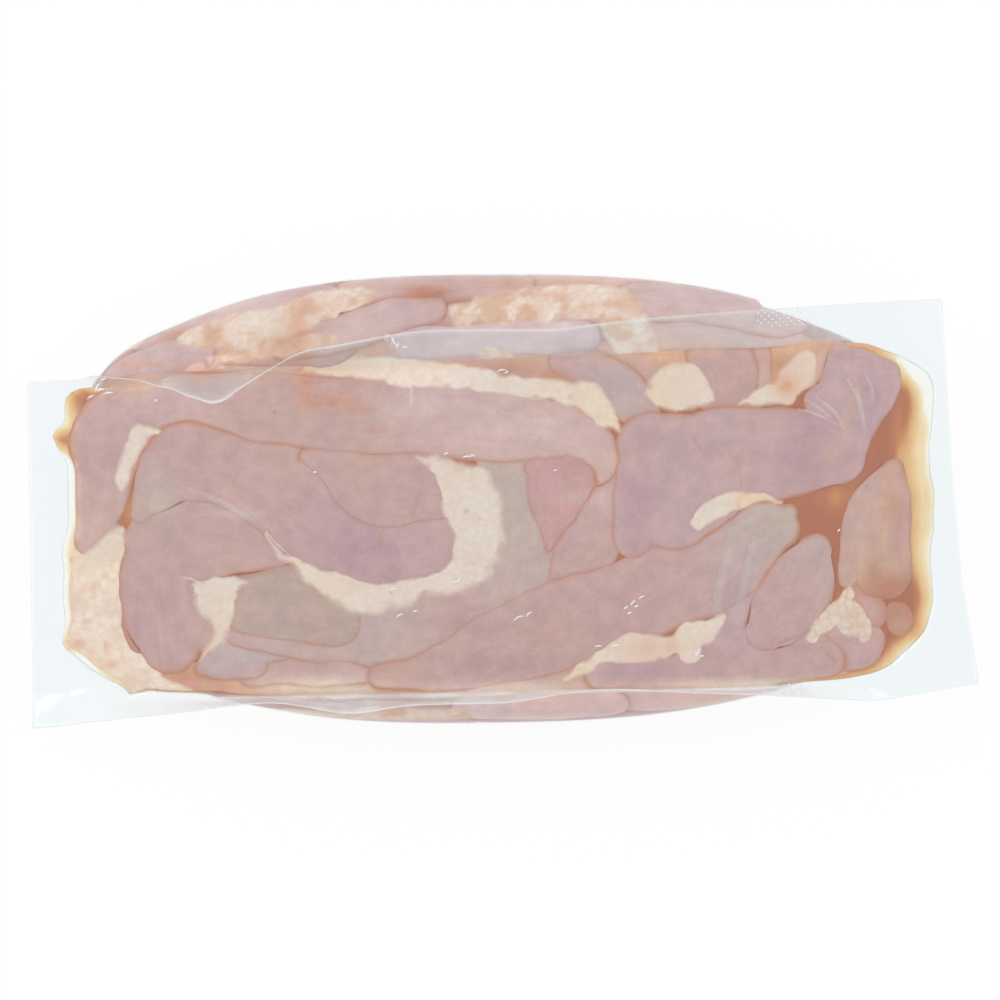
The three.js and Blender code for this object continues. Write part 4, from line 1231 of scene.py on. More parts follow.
# %% Press the fat and the loops against the face
# Each kind: radius of the edge, depth of its lip, how steeply what lies behind slips under, size of the
# mesh, raggedness, height and size of lobules, strength of their seams, ooze, juice in and beside its
# creases, and the most that it presses down what lies behind
FAT_ON_FACE = {"palette": FAT_TINT, "edge": 1.2, "lip": 0.12, "slip": 0.35, "step": 0.5, "ragged": 0.7,
               "lumps": 0.2, "lobule": 2.2, "seams": 0.15, "ooze": 0.12, "wet": 0.15, "line": 0.5,
               "least": 0.05, "deepest": 0.4}
CRUMB_ON_FACE = dict(FAT_ON_FACE, ragged=1.0, lumps=0.36, lobule=2.7, seams=0.6, ooze=0.2)
PAD_ON_FACE = dict(FAT_ON_FACE, lobule=3.2, seams=0.2, ooze=0.25)
LOOP_ON_FACE = {"palette": TISSUE, "edge": 1.4, "lip": 0.25, "slip": 0.8, "step": 0.6, "ragged": 0.0,
                "lumps": 0.0, "lobule": 2.2, "wet": 1.0, "line": 0.7, "least": 0.05, "deepest": 4.0}
SUNK_ON_FACE = dict(LOOP_ON_FACE, edge=2.4, line=2.6, least=0.7)


def see_through(piece):
    """Keeps a thin clear piece from darkening what lies under it."""
    piece.visible_shadow = False
    piece.visible_diffuse = False


face_fronts = []
fat_heap, front_heap, inner_heap = Heap(), Heap(), Heap()
press_strips(fat_heap, CRUMBS, CRUMB_ON_FACE, face_fronts, 12, lay_on_face)
press_strips(fat_heap, RIBBONS, FAT_ON_FACE, face_fronts, 11, lay_on_face)
press_strips(front_heap, LOOPS_FRONT, LOOP_ON_FACE, face_fronts, 21, lay_on_face)
press_strips(inner_heap, LOOPS_LEFT + LOOPS_BEHIND, LOOP_ON_FACE, face_fronts, 21, lay_on_face)
press_strips(inner_heap, LOOPS_SUNK, SUNK_ON_FACE, face_fronts, 21, lay_on_face)
press_strips(fat_heap, CORNER_PAD, PAD_ON_FACE, face_fronts, 13, lay_on_face)
press_strips(inner_heap, LOOPS_UNDER, LOOP_ON_FACE, face_fronts, 21, lay_on_face)
heap_piece("intestines_face", front_heap, intestine_wall)
heap_piece("intestines_inner", inner_heap, intestine_wall)
# Thin fat is see-through at its edges, and what it hides from the light would draw a dark outline there
see_through(heap_piece("fat_face", fat_heap, suet))

# %% [markdown]
# ## Loops and fat on the belly and the back
# Outside the face edge the pack bulges: this belly shows above and below the pressed face. What shows is
# placed from the plan. The hidden sides and the underside get loops of the same kind in staggered rows,
# each a little different by a seeded draw, so that the pack is whole from any side.

# %% What the belly shows
BELLY_LAP = 0.8
# Each has its name, its tints and its route on the plan
BELLY_FAT = [
    ("belly_big", ["cream", "pale", "pale", "pale", "cream"],
     [(-12, 54.5, 3.6), (0, 57, 6), (12, 58, 7), (25, 59, 7.4), (36, 58, 6)]),
    ("belly_pale", ["pale", "pale", "pinkish"],
     [(31, 59, 6), (35, 54, 7), (38, 48, 7), (41, 43, 5)]),
    ("belly_left", ["cream", "pale", "cream", "pale", "pale"],
     [(-92, 47.5, 3.4), (-80, 50, 7), (-70, 51.6, 7.4), (-60, 54.6, 6.6), (-52, 58.4, 6.6),
      (-42, 60.6, 4.6)]),
    ("belly_low", ["blush", "pinkish"],
     [(-80, 43, 2.5), (-70, 44, 3), (-60, 46, 2.6), (-50, 47, 1.8)]),
    ("belly_speck", ["chalk"], [(-6, 43, 1.4), (1, 43.5, 1.4)]),
    ("foot_side", ["cream", "pinkish", "cream"],
     [(-62, -60, 5), (-47, -61, 5), (-30, -61, 5), (-12, -61, 4)]),
]
# Where these loops slope away, the blush tint is paler pink painted in to offset the shade there
BELLY_LOOPS = [
    ("belly_lilac", ["pink", "heather", "pink"],
     [(-62, 45.5, 4), (-48, 49.5, 5), (-33, 54.5, 5.4), (-21, 56.5, 4.4)]),
    ("belly_middle", ["heather", "pale", "pale"],
     [(-28, 46.5, 4), (-10, 47.5, 4.5), (8, 48.5, 4.5), (24, 48.5, 4)]),
    ("belly_end", ["heather"],
     [(-112, 39.5, 4), (-102, 42, 6), (-90, 44, 6)]),
    ("belly_rise", ["pink", "blush", "pink"],
     [(-100, 47, 6), (-85, 54, 8), (-70, 58.5, 8), (-56, 61.5, 7)]),
    ("belly_right", ["heather", "heather", "blush"],
     [(42, 60, 8), (56, 60, 9), (68, 58, 9), (82, 53, 7)]),
    ("belly_under", ["blush", "pink", "blush"],
     [(46, 50, 5), (60, 51, 6), (74, 50, 6), (86, 48, 2.4)]),
    ("belly_crest", ["blush", "pink", "blush"], [(-42, 63, 7), (-20, 64.5, 8), (2, 65, 7)]),
    ("belly_crest_right", ["blush"], [(8, 66, 7), (28, 66.3, 8), (46, 64.5, 6)]),
    ("low_left", ["blush"], [(-98, -54, 5), (-84, -58, 6), (-70, -61, 6)]),
    ("low_middle", ["pale", "blush", "blush"], [(-8, -60, 6), (10, -60, 7), (30, -59, 7)]),
    ("low_right", ["blush"], [(38, -57, 6), (54, -57, 7), (72, -55, 6)]),
]
belly_fat = [(name, BELLY_LAP, tints, on_belly(route)) for name, tints, route in BELLY_FAT]
belly_loops = [(name, BELLY_LAP, tints, on_belly(route)) for name, tints, route in BELLY_LOOPS]
print("placed on the belly:", len(BELLY_LOOPS), "loops and", len(BELLY_FAT), "pieces of fat")

# %% Rows of loops round the hidden sides and the foot
# Each row has its place down the side, its number of loops and their half-width
BACK_ROWS = [(13, 7, 9.5), (31, 8, 10), (49, 7, 10), (67, 8, 10), (85, 7, 10), (103, 7, 10), (121, 6, 9)]
BACK_WANDER = 4.0
BACK_SHARE = 0.86
BACK_KNOTS = 5
BACK_SHIFT = 0.3
# Least share of the half-width and what a draw adds to it, and the same in millimetres for the fat
BACK_WIDTHS = (0.8, 0.35)
RIBBON_WIDTHS = (1.2, 2.6)
RIBBON_SIDE = 0.9
BACK_TINTS = ["mauve", "pink", "lilac", "violet", "grey", "mauve", "rose", "mauve"]
FAT_CHANCE = 0.4
draw = np.random.default_rng(7)

back_loops, back_fat = [], []
for row, (drop, count, width) in enumerate(BACK_ROWS):
    pitch = SPOKES / count
    for place in range(count):
        start = -(place + row / 2 + BACK_SHIFT * draw.random()) * pitch
        along = start + np.linspace(0, pitch * BACK_SHARE, BACK_KNOTS)
        middle = drop + BACK_WANDER * (2 * draw.random(BACK_KNOTS) - 1)
        widths = width * (BACK_WIDTHS[0] + BACK_WIDTHS[1] * draw.random(BACK_KNOTS))
        tints = list(draw.choice(BACK_TINTS, 3))
        back_loops.append((f"back_{row}_{place}", 1.0, tints, np.stack([along, middle, widths], axis=1)))
        if draw.random() < FAT_CHANCE:
            thin = RIBBON_WIDTHS[0] + RIBBON_WIDTHS[1] * draw.random(BACK_KNOTS)
            ribbon = np.stack([along, middle + width * RIBBON_SIDE, thin], axis=1)
            back_fat.append((f"back_fat_{row}_{place}", 0.0, ["cream", "pinkish", "cream"], ribbon))
print("rows give", len(back_loops), "loops and", len(back_fat), "ribbons of fat")

# %% Press them against the sides
FAT_ON_SIDE = dict(FAT_ON_FACE, step=0.8, ooze=0.7, ragged=0.8, lobule=3.0, seams=0.3)
BACK_FAT_ON_SIDE = dict(FAT_ON_SIDE, step=1.2)
LOOP_ON_SIDE = dict(LOOP_ON_FACE, edge=2.2, lip=1.0, step=1.6, line=0.7)

side_fronts = []
back_fat_heap, back_heap = Heap(), Heap()


def turned(fronts):
    """The same routes one whole girth to either side, because the unrolled side repeats."""
    copies = []
    for front in fronts:
        for turn in (-SPOKES, 0, SPOKES):
            line = front["line"].copy()
            line[:, 0] += turn
            copies.append(dict(front, line=line))
    return copies


def press_on_side(heap, strips, kind, seed):
    """Presses strips on the unrolled side, one at a time, behind all that came before."""
    for number, strip in enumerate(strips):
        fronts = turned(side_fronts)
        before = len(fronts)
        press_strips(heap, [strip], kind, fronts, seed + number, lay_on_side)
        side_fronts.extend(fronts[before:])


press_on_side(back_fat_heap, belly_fat, FAT_ON_SIDE, 31)
press_on_side(back_heap, belly_loops, LOOP_ON_SIDE, 51)
press_on_side(back_fat_heap, back_fat, BACK_FAT_ON_SIDE, 71)
press_on_side(back_heap, back_loops, LOOP_ON_SIDE, 101)
heap_piece("intestines_back", back_heap, intestine_wall)
see_through(heap_piece("fat_back", back_fat_heap, suet))

# %% [markdown]
# ## Juice between the loops
# The gaps hold set cooking juice. It could be poured as a volume, but a core just under the surface of the
# loops fills every gap at once and shows as brown pools and lines. Towards the ends the juice runs out in
# a thin wedge, which turns amber and then straw-pale; that thinness is painted on its points.

# %% Top of the core
CORE_EVERY = 2
CORE_DEPTH = 0.5
SIDE_WEDGE = 2.5
LEFT_WEDGE = 12.0
RIGHT_WEDGE = 14.5
LOW_RIGHT_WEDGE = 10.0
# The right wedge goes from its low to its full length between these places along y
WEDGE_CHANGE = (-30, -12)
SIDE_THIN = 0.55
EDGE_DEPTH = 0.1
SIDE_DEPTH = 1.4
# Rings of the top, few up to a share of the reach and many past it
TOP_SPLIT = 0.7
INNER_RINGS = 10
OUTER_RINGS = 22
RIM_BANDS = 20
CORE_LAYERS = ((6.0, 0.05, 41),)
# Where the wedge is thicker or thinner: change of thinness, x, y and the half-lengths along x and y
JUICE_SPOTS = [
    (-0.5, -122.5, 33, 5.0, 5.0), (-0.5, -128, 18.5, 4.0, 3.0), (-0.4, -123.5, -41, 3.0, 2.5),
    (0.3, -108, -2, 4.0, 6.0), (-0.25, 119, -27, 5.0, 7.0), (-0.3, 121, -38, 4.0, 4.0),
    (0.5, 121, 39, 6.0, 7.0), (0.25, 123, 29, 4.0, 5.0), (0.2, -126, 3, 4.0, 13.0),
    (0.15, -128, -26, 3.0, 12.0), (0.32, 97, 2, 6.0, 4.5), (0.12, 104, 18, 3.0, 6.0),
    (0.2, 115, 22, 2.0, 14.0), (0.12, 118.5, 20, 3.0, 7.0), (-0.06, 124, 2, 3.0, 9.0),
    (0.3, -121, -45, 5.0, 6.0), (0.3, -112, -53.5, 6.0, 4.0),
]

core_spokes = np.arange(0, SPOKES, CORE_EVERY)
core_face = face_reach[core_spokes][:, None]
shares = np.concatenate([np.linspace(0, TOP_SPLIT, INNER_RINGS, endpoint=False),
                         np.linspace(TOP_SPLIT, 1.0, OUTER_RINGS)])
flat = np.stack([spoke_x[core_spokes][:, None] + core_face * shares * spoke_way[core_spokes, :1],
                 SPINE_Y + core_face * shares * spoke_way[core_spokes, 1:]], axis=-1)
uneven = layered(flat[..., 0], flat[..., 1], CORE_LAYERS)
at_end = end_share[core_spokes][:, None]
rim_depth = SIDE_DEPTH + (EDGE_DEPTH - SIDE_DEPTH) * np.clip(2 * at_end, 0, 1)
depth = rim_depth + (CORE_DEPTH - rim_depth) * np.clip(RIM_BANDS * (1 - shares), 0, 1)
level = FACE_LEVEL + plateau(flat[..., 0], flat[..., 1]) - depth
core_top = np.concatenate([flat, (level + uneven)[..., None]], axis=-1)

right_wedge = np.interp(flat[..., 1], WEDGE_CHANGE, [LOW_RIGHT_WEDGE, RIGHT_WEDGE])
wedge = SIDE_WEDGE + (np.where(flat[..., 0] > 0, right_wedge, LEFT_WEDGE) - SIDE_WEDGE) * at_end
thin_top = (1 - np.clip(core_face * (1 - shares) / wedge, 0, 1)) * np.clip(2 * at_end, SIDE_THIN, 1)
for change, x, y, half_x, half_y in JUICE_SPOTS:
    thin_top += change * np.exp(-((flat[..., 0] - x) / half_x) ** 2 - ((flat[..., 1] - y) / half_y) ** 2)
print("top of the core:", len(core_spokes), "spokes of", len(shares), "points")

# %% Side of the core
CORE_SIDE = 1.9
CORE_SIDE_RINGS = 24
CORE_FOOT_RINGS = 12
CORE_SIDE_END = 60.0
THIN_DROP = 16.0
THIN_FADE = 1.5

upper_drop = np.linspace(1, CORE_SIDE_END, CORE_SIDE_RINGS)
upper_drop = np.broadcast_to(upper_drop, (len(core_spokes), CORE_SIDE_RINGS))
way_left = side_length[core_spokes][:, None] + 1 - CORE_SIDE_END
lower_drop = CORE_SIDE_END + way_left * np.linspace(0, 1, CORE_FOOT_RINGS)[1:]
core_drop = np.concatenate([upper_drop, lower_drop], axis=1)
core_number = np.broadcast_to(core_spokes[:, None].astype(float), core_drop.shape)
core_side = lay_on_side(np.stack([-core_number, core_drop], axis=-1), np.full(core_drop.shape, CORE_SIDE))
thin_side = at_end * np.clip(THIN_FADE - core_drop / THIN_DROP, 0, 1)
# The last ring meets on the spine, so that the two sides of the foot close
core_side[:, -1] = np.stack([spoke_x[core_spokes], np.full(len(core_spokes), SPINE_Y),
                             np.full(len(core_spokes), core_side[:, -1, 2].mean())], axis=1)
print("side of the core:", core_side.shape[1], "rings")

# %% Juice as one closed mesh
WELD = 0.02
SLIVER = 0.1 * WELD


def ring_faces(spokes, rings):
    """Quads of a closed form made of rings of spokes, counted spoke by spoke."""
    first = np.arange(spokes)[:, None] * rings + np.arange(rings - 1)
    second = ((np.arange(spokes) + 1) % spokes)[:, None] * rings + np.arange(rings - 1)
    quads = np.stack([first, first + 1, second + 1, second], axis=-1)
    return quads.reshape(-1, 4).tolist()


def weld(piece):
    """Joins the points that meet on the spine, so that the mesh is closed there."""
    work = bmesh.new()
    work.from_mesh(piece.data)
    bmesh.ops.remove_doubles(work, verts=work.verts, dist=WELD * MM)
    bmesh.ops.dissolve_degenerate(work, edges=work.edges, dist=SLIVER * MM)
    open_edges = sum(1 for edge in work.edges if not edge.is_manifold)
    work.to_mesh(piece.data)
    work.free()
    return open_edges


core_points = np.concatenate([core_top, core_side], axis=1)
core_faces = ring_faces(len(core_spokes), core_points.shape[1])
juice = make_piece("juice", core_points.reshape(-1, 3), core_faces, jelly)
paint(juice.data, "thin", "FLOAT", np.concatenate([thin_top, thin_side], axis=1))
print("juice core, open edges after welding:", weld(juice))

# %% [markdown]
# ## The film
# The pouch is laminated film about 0.1 mm thick. A solid sheet of glass would refract and lose light, and
# a real film does neither, so the film is a closed thin skin whose shader lets light straight through,
# adds a little milky haze where it is doubled or creased, a painted white highlight along the free edge
# of the rim, and shines most at a low angle. It follows the loops at the sides, lies flat over the face
# and runs out into the sealed rim, which is folded up along the top and bottom.

# %% Laminated film
FILM_TINT = "#F8FBFC"
FILM_MILK = "#F6F9FB"
RIPPLE = 9.0
# Share mirrored by the sheet seen straight on and at a grazing angle
MIRRORED = (0.034, 0.6)


def film_material(name, tint):
    """Clear nylon and polyethylene laminate: faint cool tint, milky haze in folds, wet-looking shine.
    The painted value that gives the milky haze also lays painted white highlights on the film.
    """
    material, tree = new_material(name)
    haze_and_highlight = add_node(tree, "ShaderNodeAttribute", {"attribute_name": "haze_and_highlight"})
    place = add_node(tree, "ShaderNodeTexCoord")
    ripple = add_node(tree, "ShaderNodeTexNoise", {"Scale": 1 / (RIPPLE * MM), "Detail": 2.0},
                      {"Vector": place.outputs["Object"]})
    bump = add_node(tree, "ShaderNodeBump", {"Strength": 0.3, "Distance": 0.6 * MM},
                    {"Height": ripple.outputs[0]})
    clear = add_node(tree, "ShaderNodeBsdfTransparent", {"Color": linear(tint)})
    milky = add_node(tree, "ShaderNodeBsdfDiffuse", {"Color": linear(FILM_MILK)})
    shine = add_node(tree, "ShaderNodeBsdfGlossy", {"Color": (1, 1, 1, 1), "Roughness": 0.1},
                     {"Normal": bump.outputs[0]})
    # The painted value mixes in milky white: real haze where the film is doubled, painted highlights
    # elsewhere
    body = add_node(tree, "ShaderNodeMixShader", None,
                    {0: haze_and_highlight.outputs["Fac"], 1: clear.outputs[0], 2: milky.outputs[0]})
    # The curve of a sheet of IOR 1.45, the same from both sides because the sheet has two faces
    facing = add_node(tree, "ShaderNodeLayerWeight", {"Blend": 0.5})
    grazing = add_node(tree, "ShaderNodeMath", {"operation": "POWER", 1: 5.0},
                       {0: facing.outputs["Facing"]})
    mirror = add_node(tree, "ShaderNodeMapRange", {"To Min": MIRRORED[0], "To Max": MIRRORED[1]},
                      {"Value": grazing.outputs[0]})
    sheet = add_node(tree, "ShaderNodeMixShader", None,
                     {0: mirror.outputs[0], 1: body.outputs[0], 2: shine.outputs[0]})
    add_node(tree, "ShaderNodeOutputMaterial", None, {"Surface": sheet.outputs[0]})
    return material


laminate = film_material("nylon_laminate_film", FILM_TINT)
print("material:", laminate.name)

# %% Folds of the sealed rim
RIM_RINGS = 12
CURL_SHARE = 0.35
MOST_TURN = 165
TURNS = 56
rim_share = np.linspace(0, 1, RIM_RINGS + 1)[1:]


def knot_value(knots, x):
    """Smooth value on a list of place and value."""
    places, values = np.array(knots, float).T
    x = np.clip(x, places[0], places[-1])
    k = np.clip(np.searchsorted(places, x) - 1, 0, len(places) - 2)
    t = (x - places[k]) / (places[k + 1] - places[k])
    slopes = np.gradient(values, places)
    rise = places[k + 1] - places[k]
    return (values[k] * (1 + 2 * t) * (1 - t) ** 2 + values[k + 1] * (3 - 2 * t) * t ** 2
            + rise * t * (1 - t) * (slopes[k] * (1 - t) - slopes[k + 1] * t))


def fold_turn(share):
    """Turn of the rim that brings its free edge in to a share of its flat width, seen from above."""
    turns = np.radians(np.linspace(0, MOST_TURN, TURNS))
    spread = np.cos(turns[:, None] * np.clip(rim_share / CURL_SHARE, 0, 1)).mean(axis=1)
    return np.interp(-share, -spread, turns)


def evened(values, count):
    """Values around the girth, each the mean of its neighbours on both sides."""
    return np.mean([np.roll(values, shift) for shift in range(-count, count + 1)], axis=0)


print("a rim seen at half its width is turned up by", round(math.degrees(fold_turn(0.5))), "degrees")

# %% The sealed rim laid flat
FILM_CORNERS = [(127.7, 59.5), (-98.0, 48.0), (-122.0, 36.2), (-137.5, 35.6), (-135.6, -65.0),
                (110.0, -57.0), (138.6, -52.0), (133.4, -22.0), (130.6, 10.0)]
# The free edge of the folded rim as it is seen from above, by its x and y on the plan
FREE_EDGES = {
    "top": [(-122, 36.6), (-112, 35.8), (-102, 32.8), (-94, 29.9), (-87, 28.7), (-80, 30.1), (-73, 34.1),
            (-66, 38.5), (-58, 43.2), (-47, 45.3), (-33, 48.3), (-24, 49.6), (-4, 50.1), (16, 50.1),
            (27, 51.6), (58, 54.8), (75, 56.0), (127, 59.5)],
    "bottom": [(-136, -65), (-115, -62), (-95, -60), (-76, -57.7), (-64, -57), (-56, -58.3), (-43, -60.5),
               (-30, -58.3), (-11, -57.4), (3, -57), (10, -55.8), (24, -53.6), (55, -54.2), (95, -56),
               (110, -57)],
}
FILM_SIDES = ["top", "top", "end", "end", "bottom", "bottom", "end", "end", "end"]
RIM_HAZES = {"top": 0.04, "bottom": 0.25, "end": 0.055}
MILK_RISE = 1.5
FOLD_EVEN = 4

film_reach = np.full(SPOKES, 1e9)
film_fold, film_milk = np.zeros(SPOKES), np.zeros(SPOKES)
for k, (corner, side) in enumerate(zip(FILM_CORNERS, FILM_SIDES)):
    a, b = np.array(corner), np.array(FILM_CORNERS[(k + 1) % len(FILM_CORNERS)])
    normal = np.array([(b - a)[1], -(b - a)[0]])
    speed = spoke_way @ normal
    speed = np.where(np.abs(speed) < 1e-9, 1e-9, speed)
    hit = ((a[0] - spoke_x) * normal[0] + (a[1] - SPINE_Y) * normal[1]) / speed
    point_x = spoke_x + hit * spoke_way[:, 0]
    point_y = SPINE_Y + hit * spoke_way[:, 1]
    share = ((point_x - a[0]) * (b - a)[0] + (point_y - a[1]) * (b - a)[1]) / ((b - a) @ (b - a))
    meets = (hit > 0) & (share >= -1e-6) & (share <= 1 + 1e-6) & (hit < film_reach)
    turn = np.zeros(SPOKES)
    if side in FREE_EDGES:
        edge_y = SPINE_Y + face_reach * spoke_way[:, 1]
        turn = fold_turn((knot_value(FREE_EDGES[side], point_x) - edge_y) / (point_y - edge_y))
    milk = RIM_HAZES["end"] + (RIM_HAZES[side] - RIM_HAZES["end"]) * np.clip(MILK_RISE * np.sin(turn), 0, 1)
    film_fold = np.where(meets, turn, film_fold)
    film_milk = np.where(meets, milk, film_milk)
    film_reach = np.where(meets, hit, film_reach)
film_fold, film_milk = evened(film_fold, FOLD_EVEN), evened(film_milk, FOLD_EVEN)
rim_width = film_reach - face_reach
print("rim is", rim_width.min().round(1), "to", rim_width.max().round(1), "mm wide")

# %% Film over the face and the rim
FILM_GAP = 0.15
FILM_THICK = 0.25
# Rings over the face, few up to a share of the reach and many past it
FACE_SPLIT = 0.8
MIDDLE_RINGS = 10
EDGE_RINGS = 12
FILM_SAG = 0.05
# Waves of the rim: size, height and seed of each; a narrow rim waves less
WAVE_LAYERS = ((26.0, 0.5, 61), (9.0, 0.25, 62))
WAVY_WIDTH = 12
WAVE_POWER = 1.5

face_shares = np.concatenate([np.linspace(0, FACE_SPLIT, MIDDLE_RINGS, endpoint=False),
                              np.linspace(FACE_SPLIT, 1.0, EDGE_RINGS)])
flat = np.stack([spoke_x[:, None] + face_reach[:, None] * face_shares * spoke_way[:, :1],
                 SPINE_Y + face_reach[:, None] * face_shares * spoke_way[:, 1:]], axis=-1)


def film_level(x, y):
    """Height of the film over the pressed face."""
    return FACE_LEVEL + np.maximum(plateau(x, y), -FILM_SAG) + FILM_GAP


film_top = np.concatenate([flat, film_level(flat[..., 0], flat[..., 1])[..., None]], axis=-1)
wave = layered(spoke_number, 0 * spoke_number, WAVE_LAYERS)


def rim_rings(below):
    """Rings of one ply of the rim, from the face edge out, turned up by its fold and a little wavy."""
    curl = film_fold[:, None] * np.clip(rim_share / CURL_SHARE, 0, 1)
    stretch = np.diff(np.concatenate([[0], rim_share])) * rim_width[:, None]
    out = np.cumsum(np.cos(curl) * stretch, axis=1)
    up = np.cumsum(np.sin(curl) * stretch, axis=1)
    up = up + wave[:, None] * rim_share ** WAVE_POWER * np.minimum(rim_width / WAVY_WIDTH, 1)[:, None]
    r = face_reach[:, None] + out + below * np.sin(curl)
    z = FACE_LEVEL + FILM_GAP - FILM_SAG + up - below * np.cos(curl)
    return np.stack([spoke_x[:, None] + r * spoke_way[:, :1], SPINE_Y + r * spoke_way[:, 1:], z], axis=-1)


rim_top = rim_rings(0.0)
rim_under = rim_rings(FILM_THICK)[:, ::-1]
print("rings of the film over the face and the rim:", film_top.shape[1] + 2 * RIM_RINGS)

# %% Film along the sides and under the foot
SIDE_RINGS = 46
SIDE_DROP = 70
FOOT_DROPS = [78, 88, 98]
FOOT_FROM = 60
FOOT_SLACK = 0.3
# How far the film stands over the loops of the side, and how far it sinks between them
FILM_OVER = 0.3
FILM_SINK = 0.6
DEEPEST_DIP = 1.0

film_drop = np.concatenate([np.linspace(0, SIDE_DROP, SIDE_RINGS), FOOT_DROPS])
film_drop = np.minimum(np.broadcast_to(film_drop, (SPOKES, len(film_drop))), side_length[:, None] - 1)
film_drop = np.concatenate([film_drop, side_length[:, None] + 1], axis=1)
side_flat = np.stack([np.broadcast_to(-spoke_number[:, None], film_drop.shape), film_drop], axis=-1)
dip = np.full(film_drop.shape, LOOP_ON_SIDE["edge"])
for front in turned(side_fronts):
    inside = np.maximum(inside_route(front["line"], side_flat), 0)
    dip = np.minimum(dip, rolled(inside, front["kind"]["edge"]))
dip = np.minimum(dip, DEEPEST_DIP) * np.clip(film_drop / TAPER, 0, 1)
film_side = lay_on_side(side_flat, FILM_SINK * dip - FILM_OVER)
film_side[..., 2] = np.where(film_drop > FOOT_FROM, film_side[..., 2] - FOOT_SLACK, film_side[..., 2])
film_points = np.concatenate([film_top, rim_top, rim_under, film_side], axis=1)
print("film has", film_points.shape[0] * film_points.shape[1], "points")

# %% Haze of the film
FACE_HAZE = 0.03
EDGE_HIGHLIGHT = 0.55
EDGE_LINE = 0.5
FLAT_EDGE = 0.15
# Milky rims are streaked: length of a streak in sizes, size, seed, share and the least milk that has any
STREAK_LONG = 6
STREAK_SIZE = 0.9
STREAK_SEED = 63
STREAK_SHARE = 0.5
STREAK_MILK = 0.1

streak = soft_noise(spoke_number[:, None] / STREAK_LONG, rim_share * rim_width[:, None], STREAK_SIZE,
                    STREAK_SEED)
rim_haze = film_milk[:, None] * (1 + STREAK_SHARE * streak * (film_milk[:, None] > STREAK_MILK))
# Painted highlight: the free edge of the rim is whitened in a thin line, standing in for light it catches
to_edge = (1 - rim_share) * rim_width[:, None]
edge_highlight_share = np.exp(-to_edge / EDGE_LINE) * np.clip(film_fold[:, None], FLAT_EDGE, 1)
rim_haze = rim_haze + (EDGE_HIGHLIGHT - rim_haze) * edge_highlight_share
film_haze = np.concatenate([np.full((SPOKES, len(face_shares)), FACE_HAZE), rim_haze, rim_haze[:, ::-1],
                            np.full(film_drop.shape, FACE_HAZE)], axis=1)
film_faces = ring_faces(SPOKES, film_points.shape[1])
film = make_piece("film", film_points.reshape(-1, 3), film_faces, laminate)
paint(film.data, "haze_and_highlight", "FLOAT", film_haze)
see_through(film)
print("film, open edges after welding:", weld(film))

# %% [markdown]
# ## Creases, glints and seal marks of the film
# Where the vacuum pulls the film into a sharp crease it whitens, and small folds catch the light. These
# are thin raised ridges on the film. Their white is painted: on the creases partly the real whitening and
# partly painted sheen, on the glints a painted highlight. The heat seal leaves a fine lattice of pressed
# dots on the rim, which shows over darker contents.

# %% Creases and glints
CREASE_RISE = 0.18
CREASE_STEP = 0.6
CREASE_SPACING = 0.12
CREASE_SINK = 0.05
# Each crease: whitening, partly real and partly painted sheen, half-width and a route of x and y on the
# plan
CREASES = [
    (0.14, 0.5, [(86, 27.5), (91, 26), (97, 23)]), (0.09, 0.6, [(91, 31), (96, 27), (99, 22)]),
    (0.09, 0.6, [(103, 34), (104, 28), (105, 22)]), (0.08, 0.6, [(100, 36), (103, 31), (104, 26)]),
    (0.08, 0.5, [(105, 38), (107, 34), (107.5, 30)]), (0.08, 0.5, [(88, 30), (91, 28.5), (95, 25)]),
    (0.06, 1.8, [(67, -8), (65, -17), (63, -25), (62.5, -33)]),
    (0.05, 1.5, [(73, -11), (71, -19), (69, -29)]), (0.2, 0.4, [(-68, -8), (-65, -11.5), (-61, -15)]),
    (0.12, 0.7, [(-26.5, 36), (-26, 32), (-26, 28)]),
    (0.07, 1.2, [(-90, 4), (-84, 2), (-78, -1), (-72, -5)]),
    (0.14, 0.5, [(-93, -21), (-89, -22), (-86, -24)]),
]
# Each glint, a painted highlight on a tiny ridge: x, y, direction in degrees and half-length
GLINTS = [
    (-117, 34, 60, 1.3), (-114, 32, 10, 1.4), (-119, 31, 30, 0.9), (-115.5, 36, 20, 0.8),
    (-116.2, 33, 15, 0.7), (-31, 47, 120, 1.3), (-30, 46, 70, 0.6), (-28, 45.4, 5, 0.7),
    (0, 38.7, 10, 1.1), (1.5, 38.2, 30, 0.4), (-10, 13.6, 5, 1.2), (-8.5, 14.2, 160, 0.5),
    (-16, 14.6, 10, 0.6), (-13, -22.5, 15, 0.8), (-12.2, -21.8, 60, 0.4), (-31, -24.6, 10, 0.9),
    (-29.5, -32.2, 30, 0.8), (-25, -31, 20, 0.4), (5, -33, 25, 1.6), (8, -31.8, 40, 0.9),
    (36, -30, 30, 0.5), (38, -28.6, 50, 0.8), (40.5, -27, 30, 0.8), (37, -31.5, 20, 0.4),
    (39, -29.6, 15, 0.5), (28, -41.2, 5, 0.9), (33, -41, 10, 1.0), (57, -42.6, 60, 0.7),
    (58, -44, 10, 0.4), (56.4, -43.4, 120, 0.5), (15.5, 9.7, 10, 0.3), (-54, 9.2, 5, 0.3),
    (97.6, -7.6, 40, 0.3), (-100, 30, 30, 0.3), (115, 41.5, 100, 0.6),
]
GLINT_HIGHLIGHT = 0.7
GLINT_WIDTH = 0.09
GLINT_BEND = 0.2
GLINT_TIP = 0.4 * GLINT_WIDTH


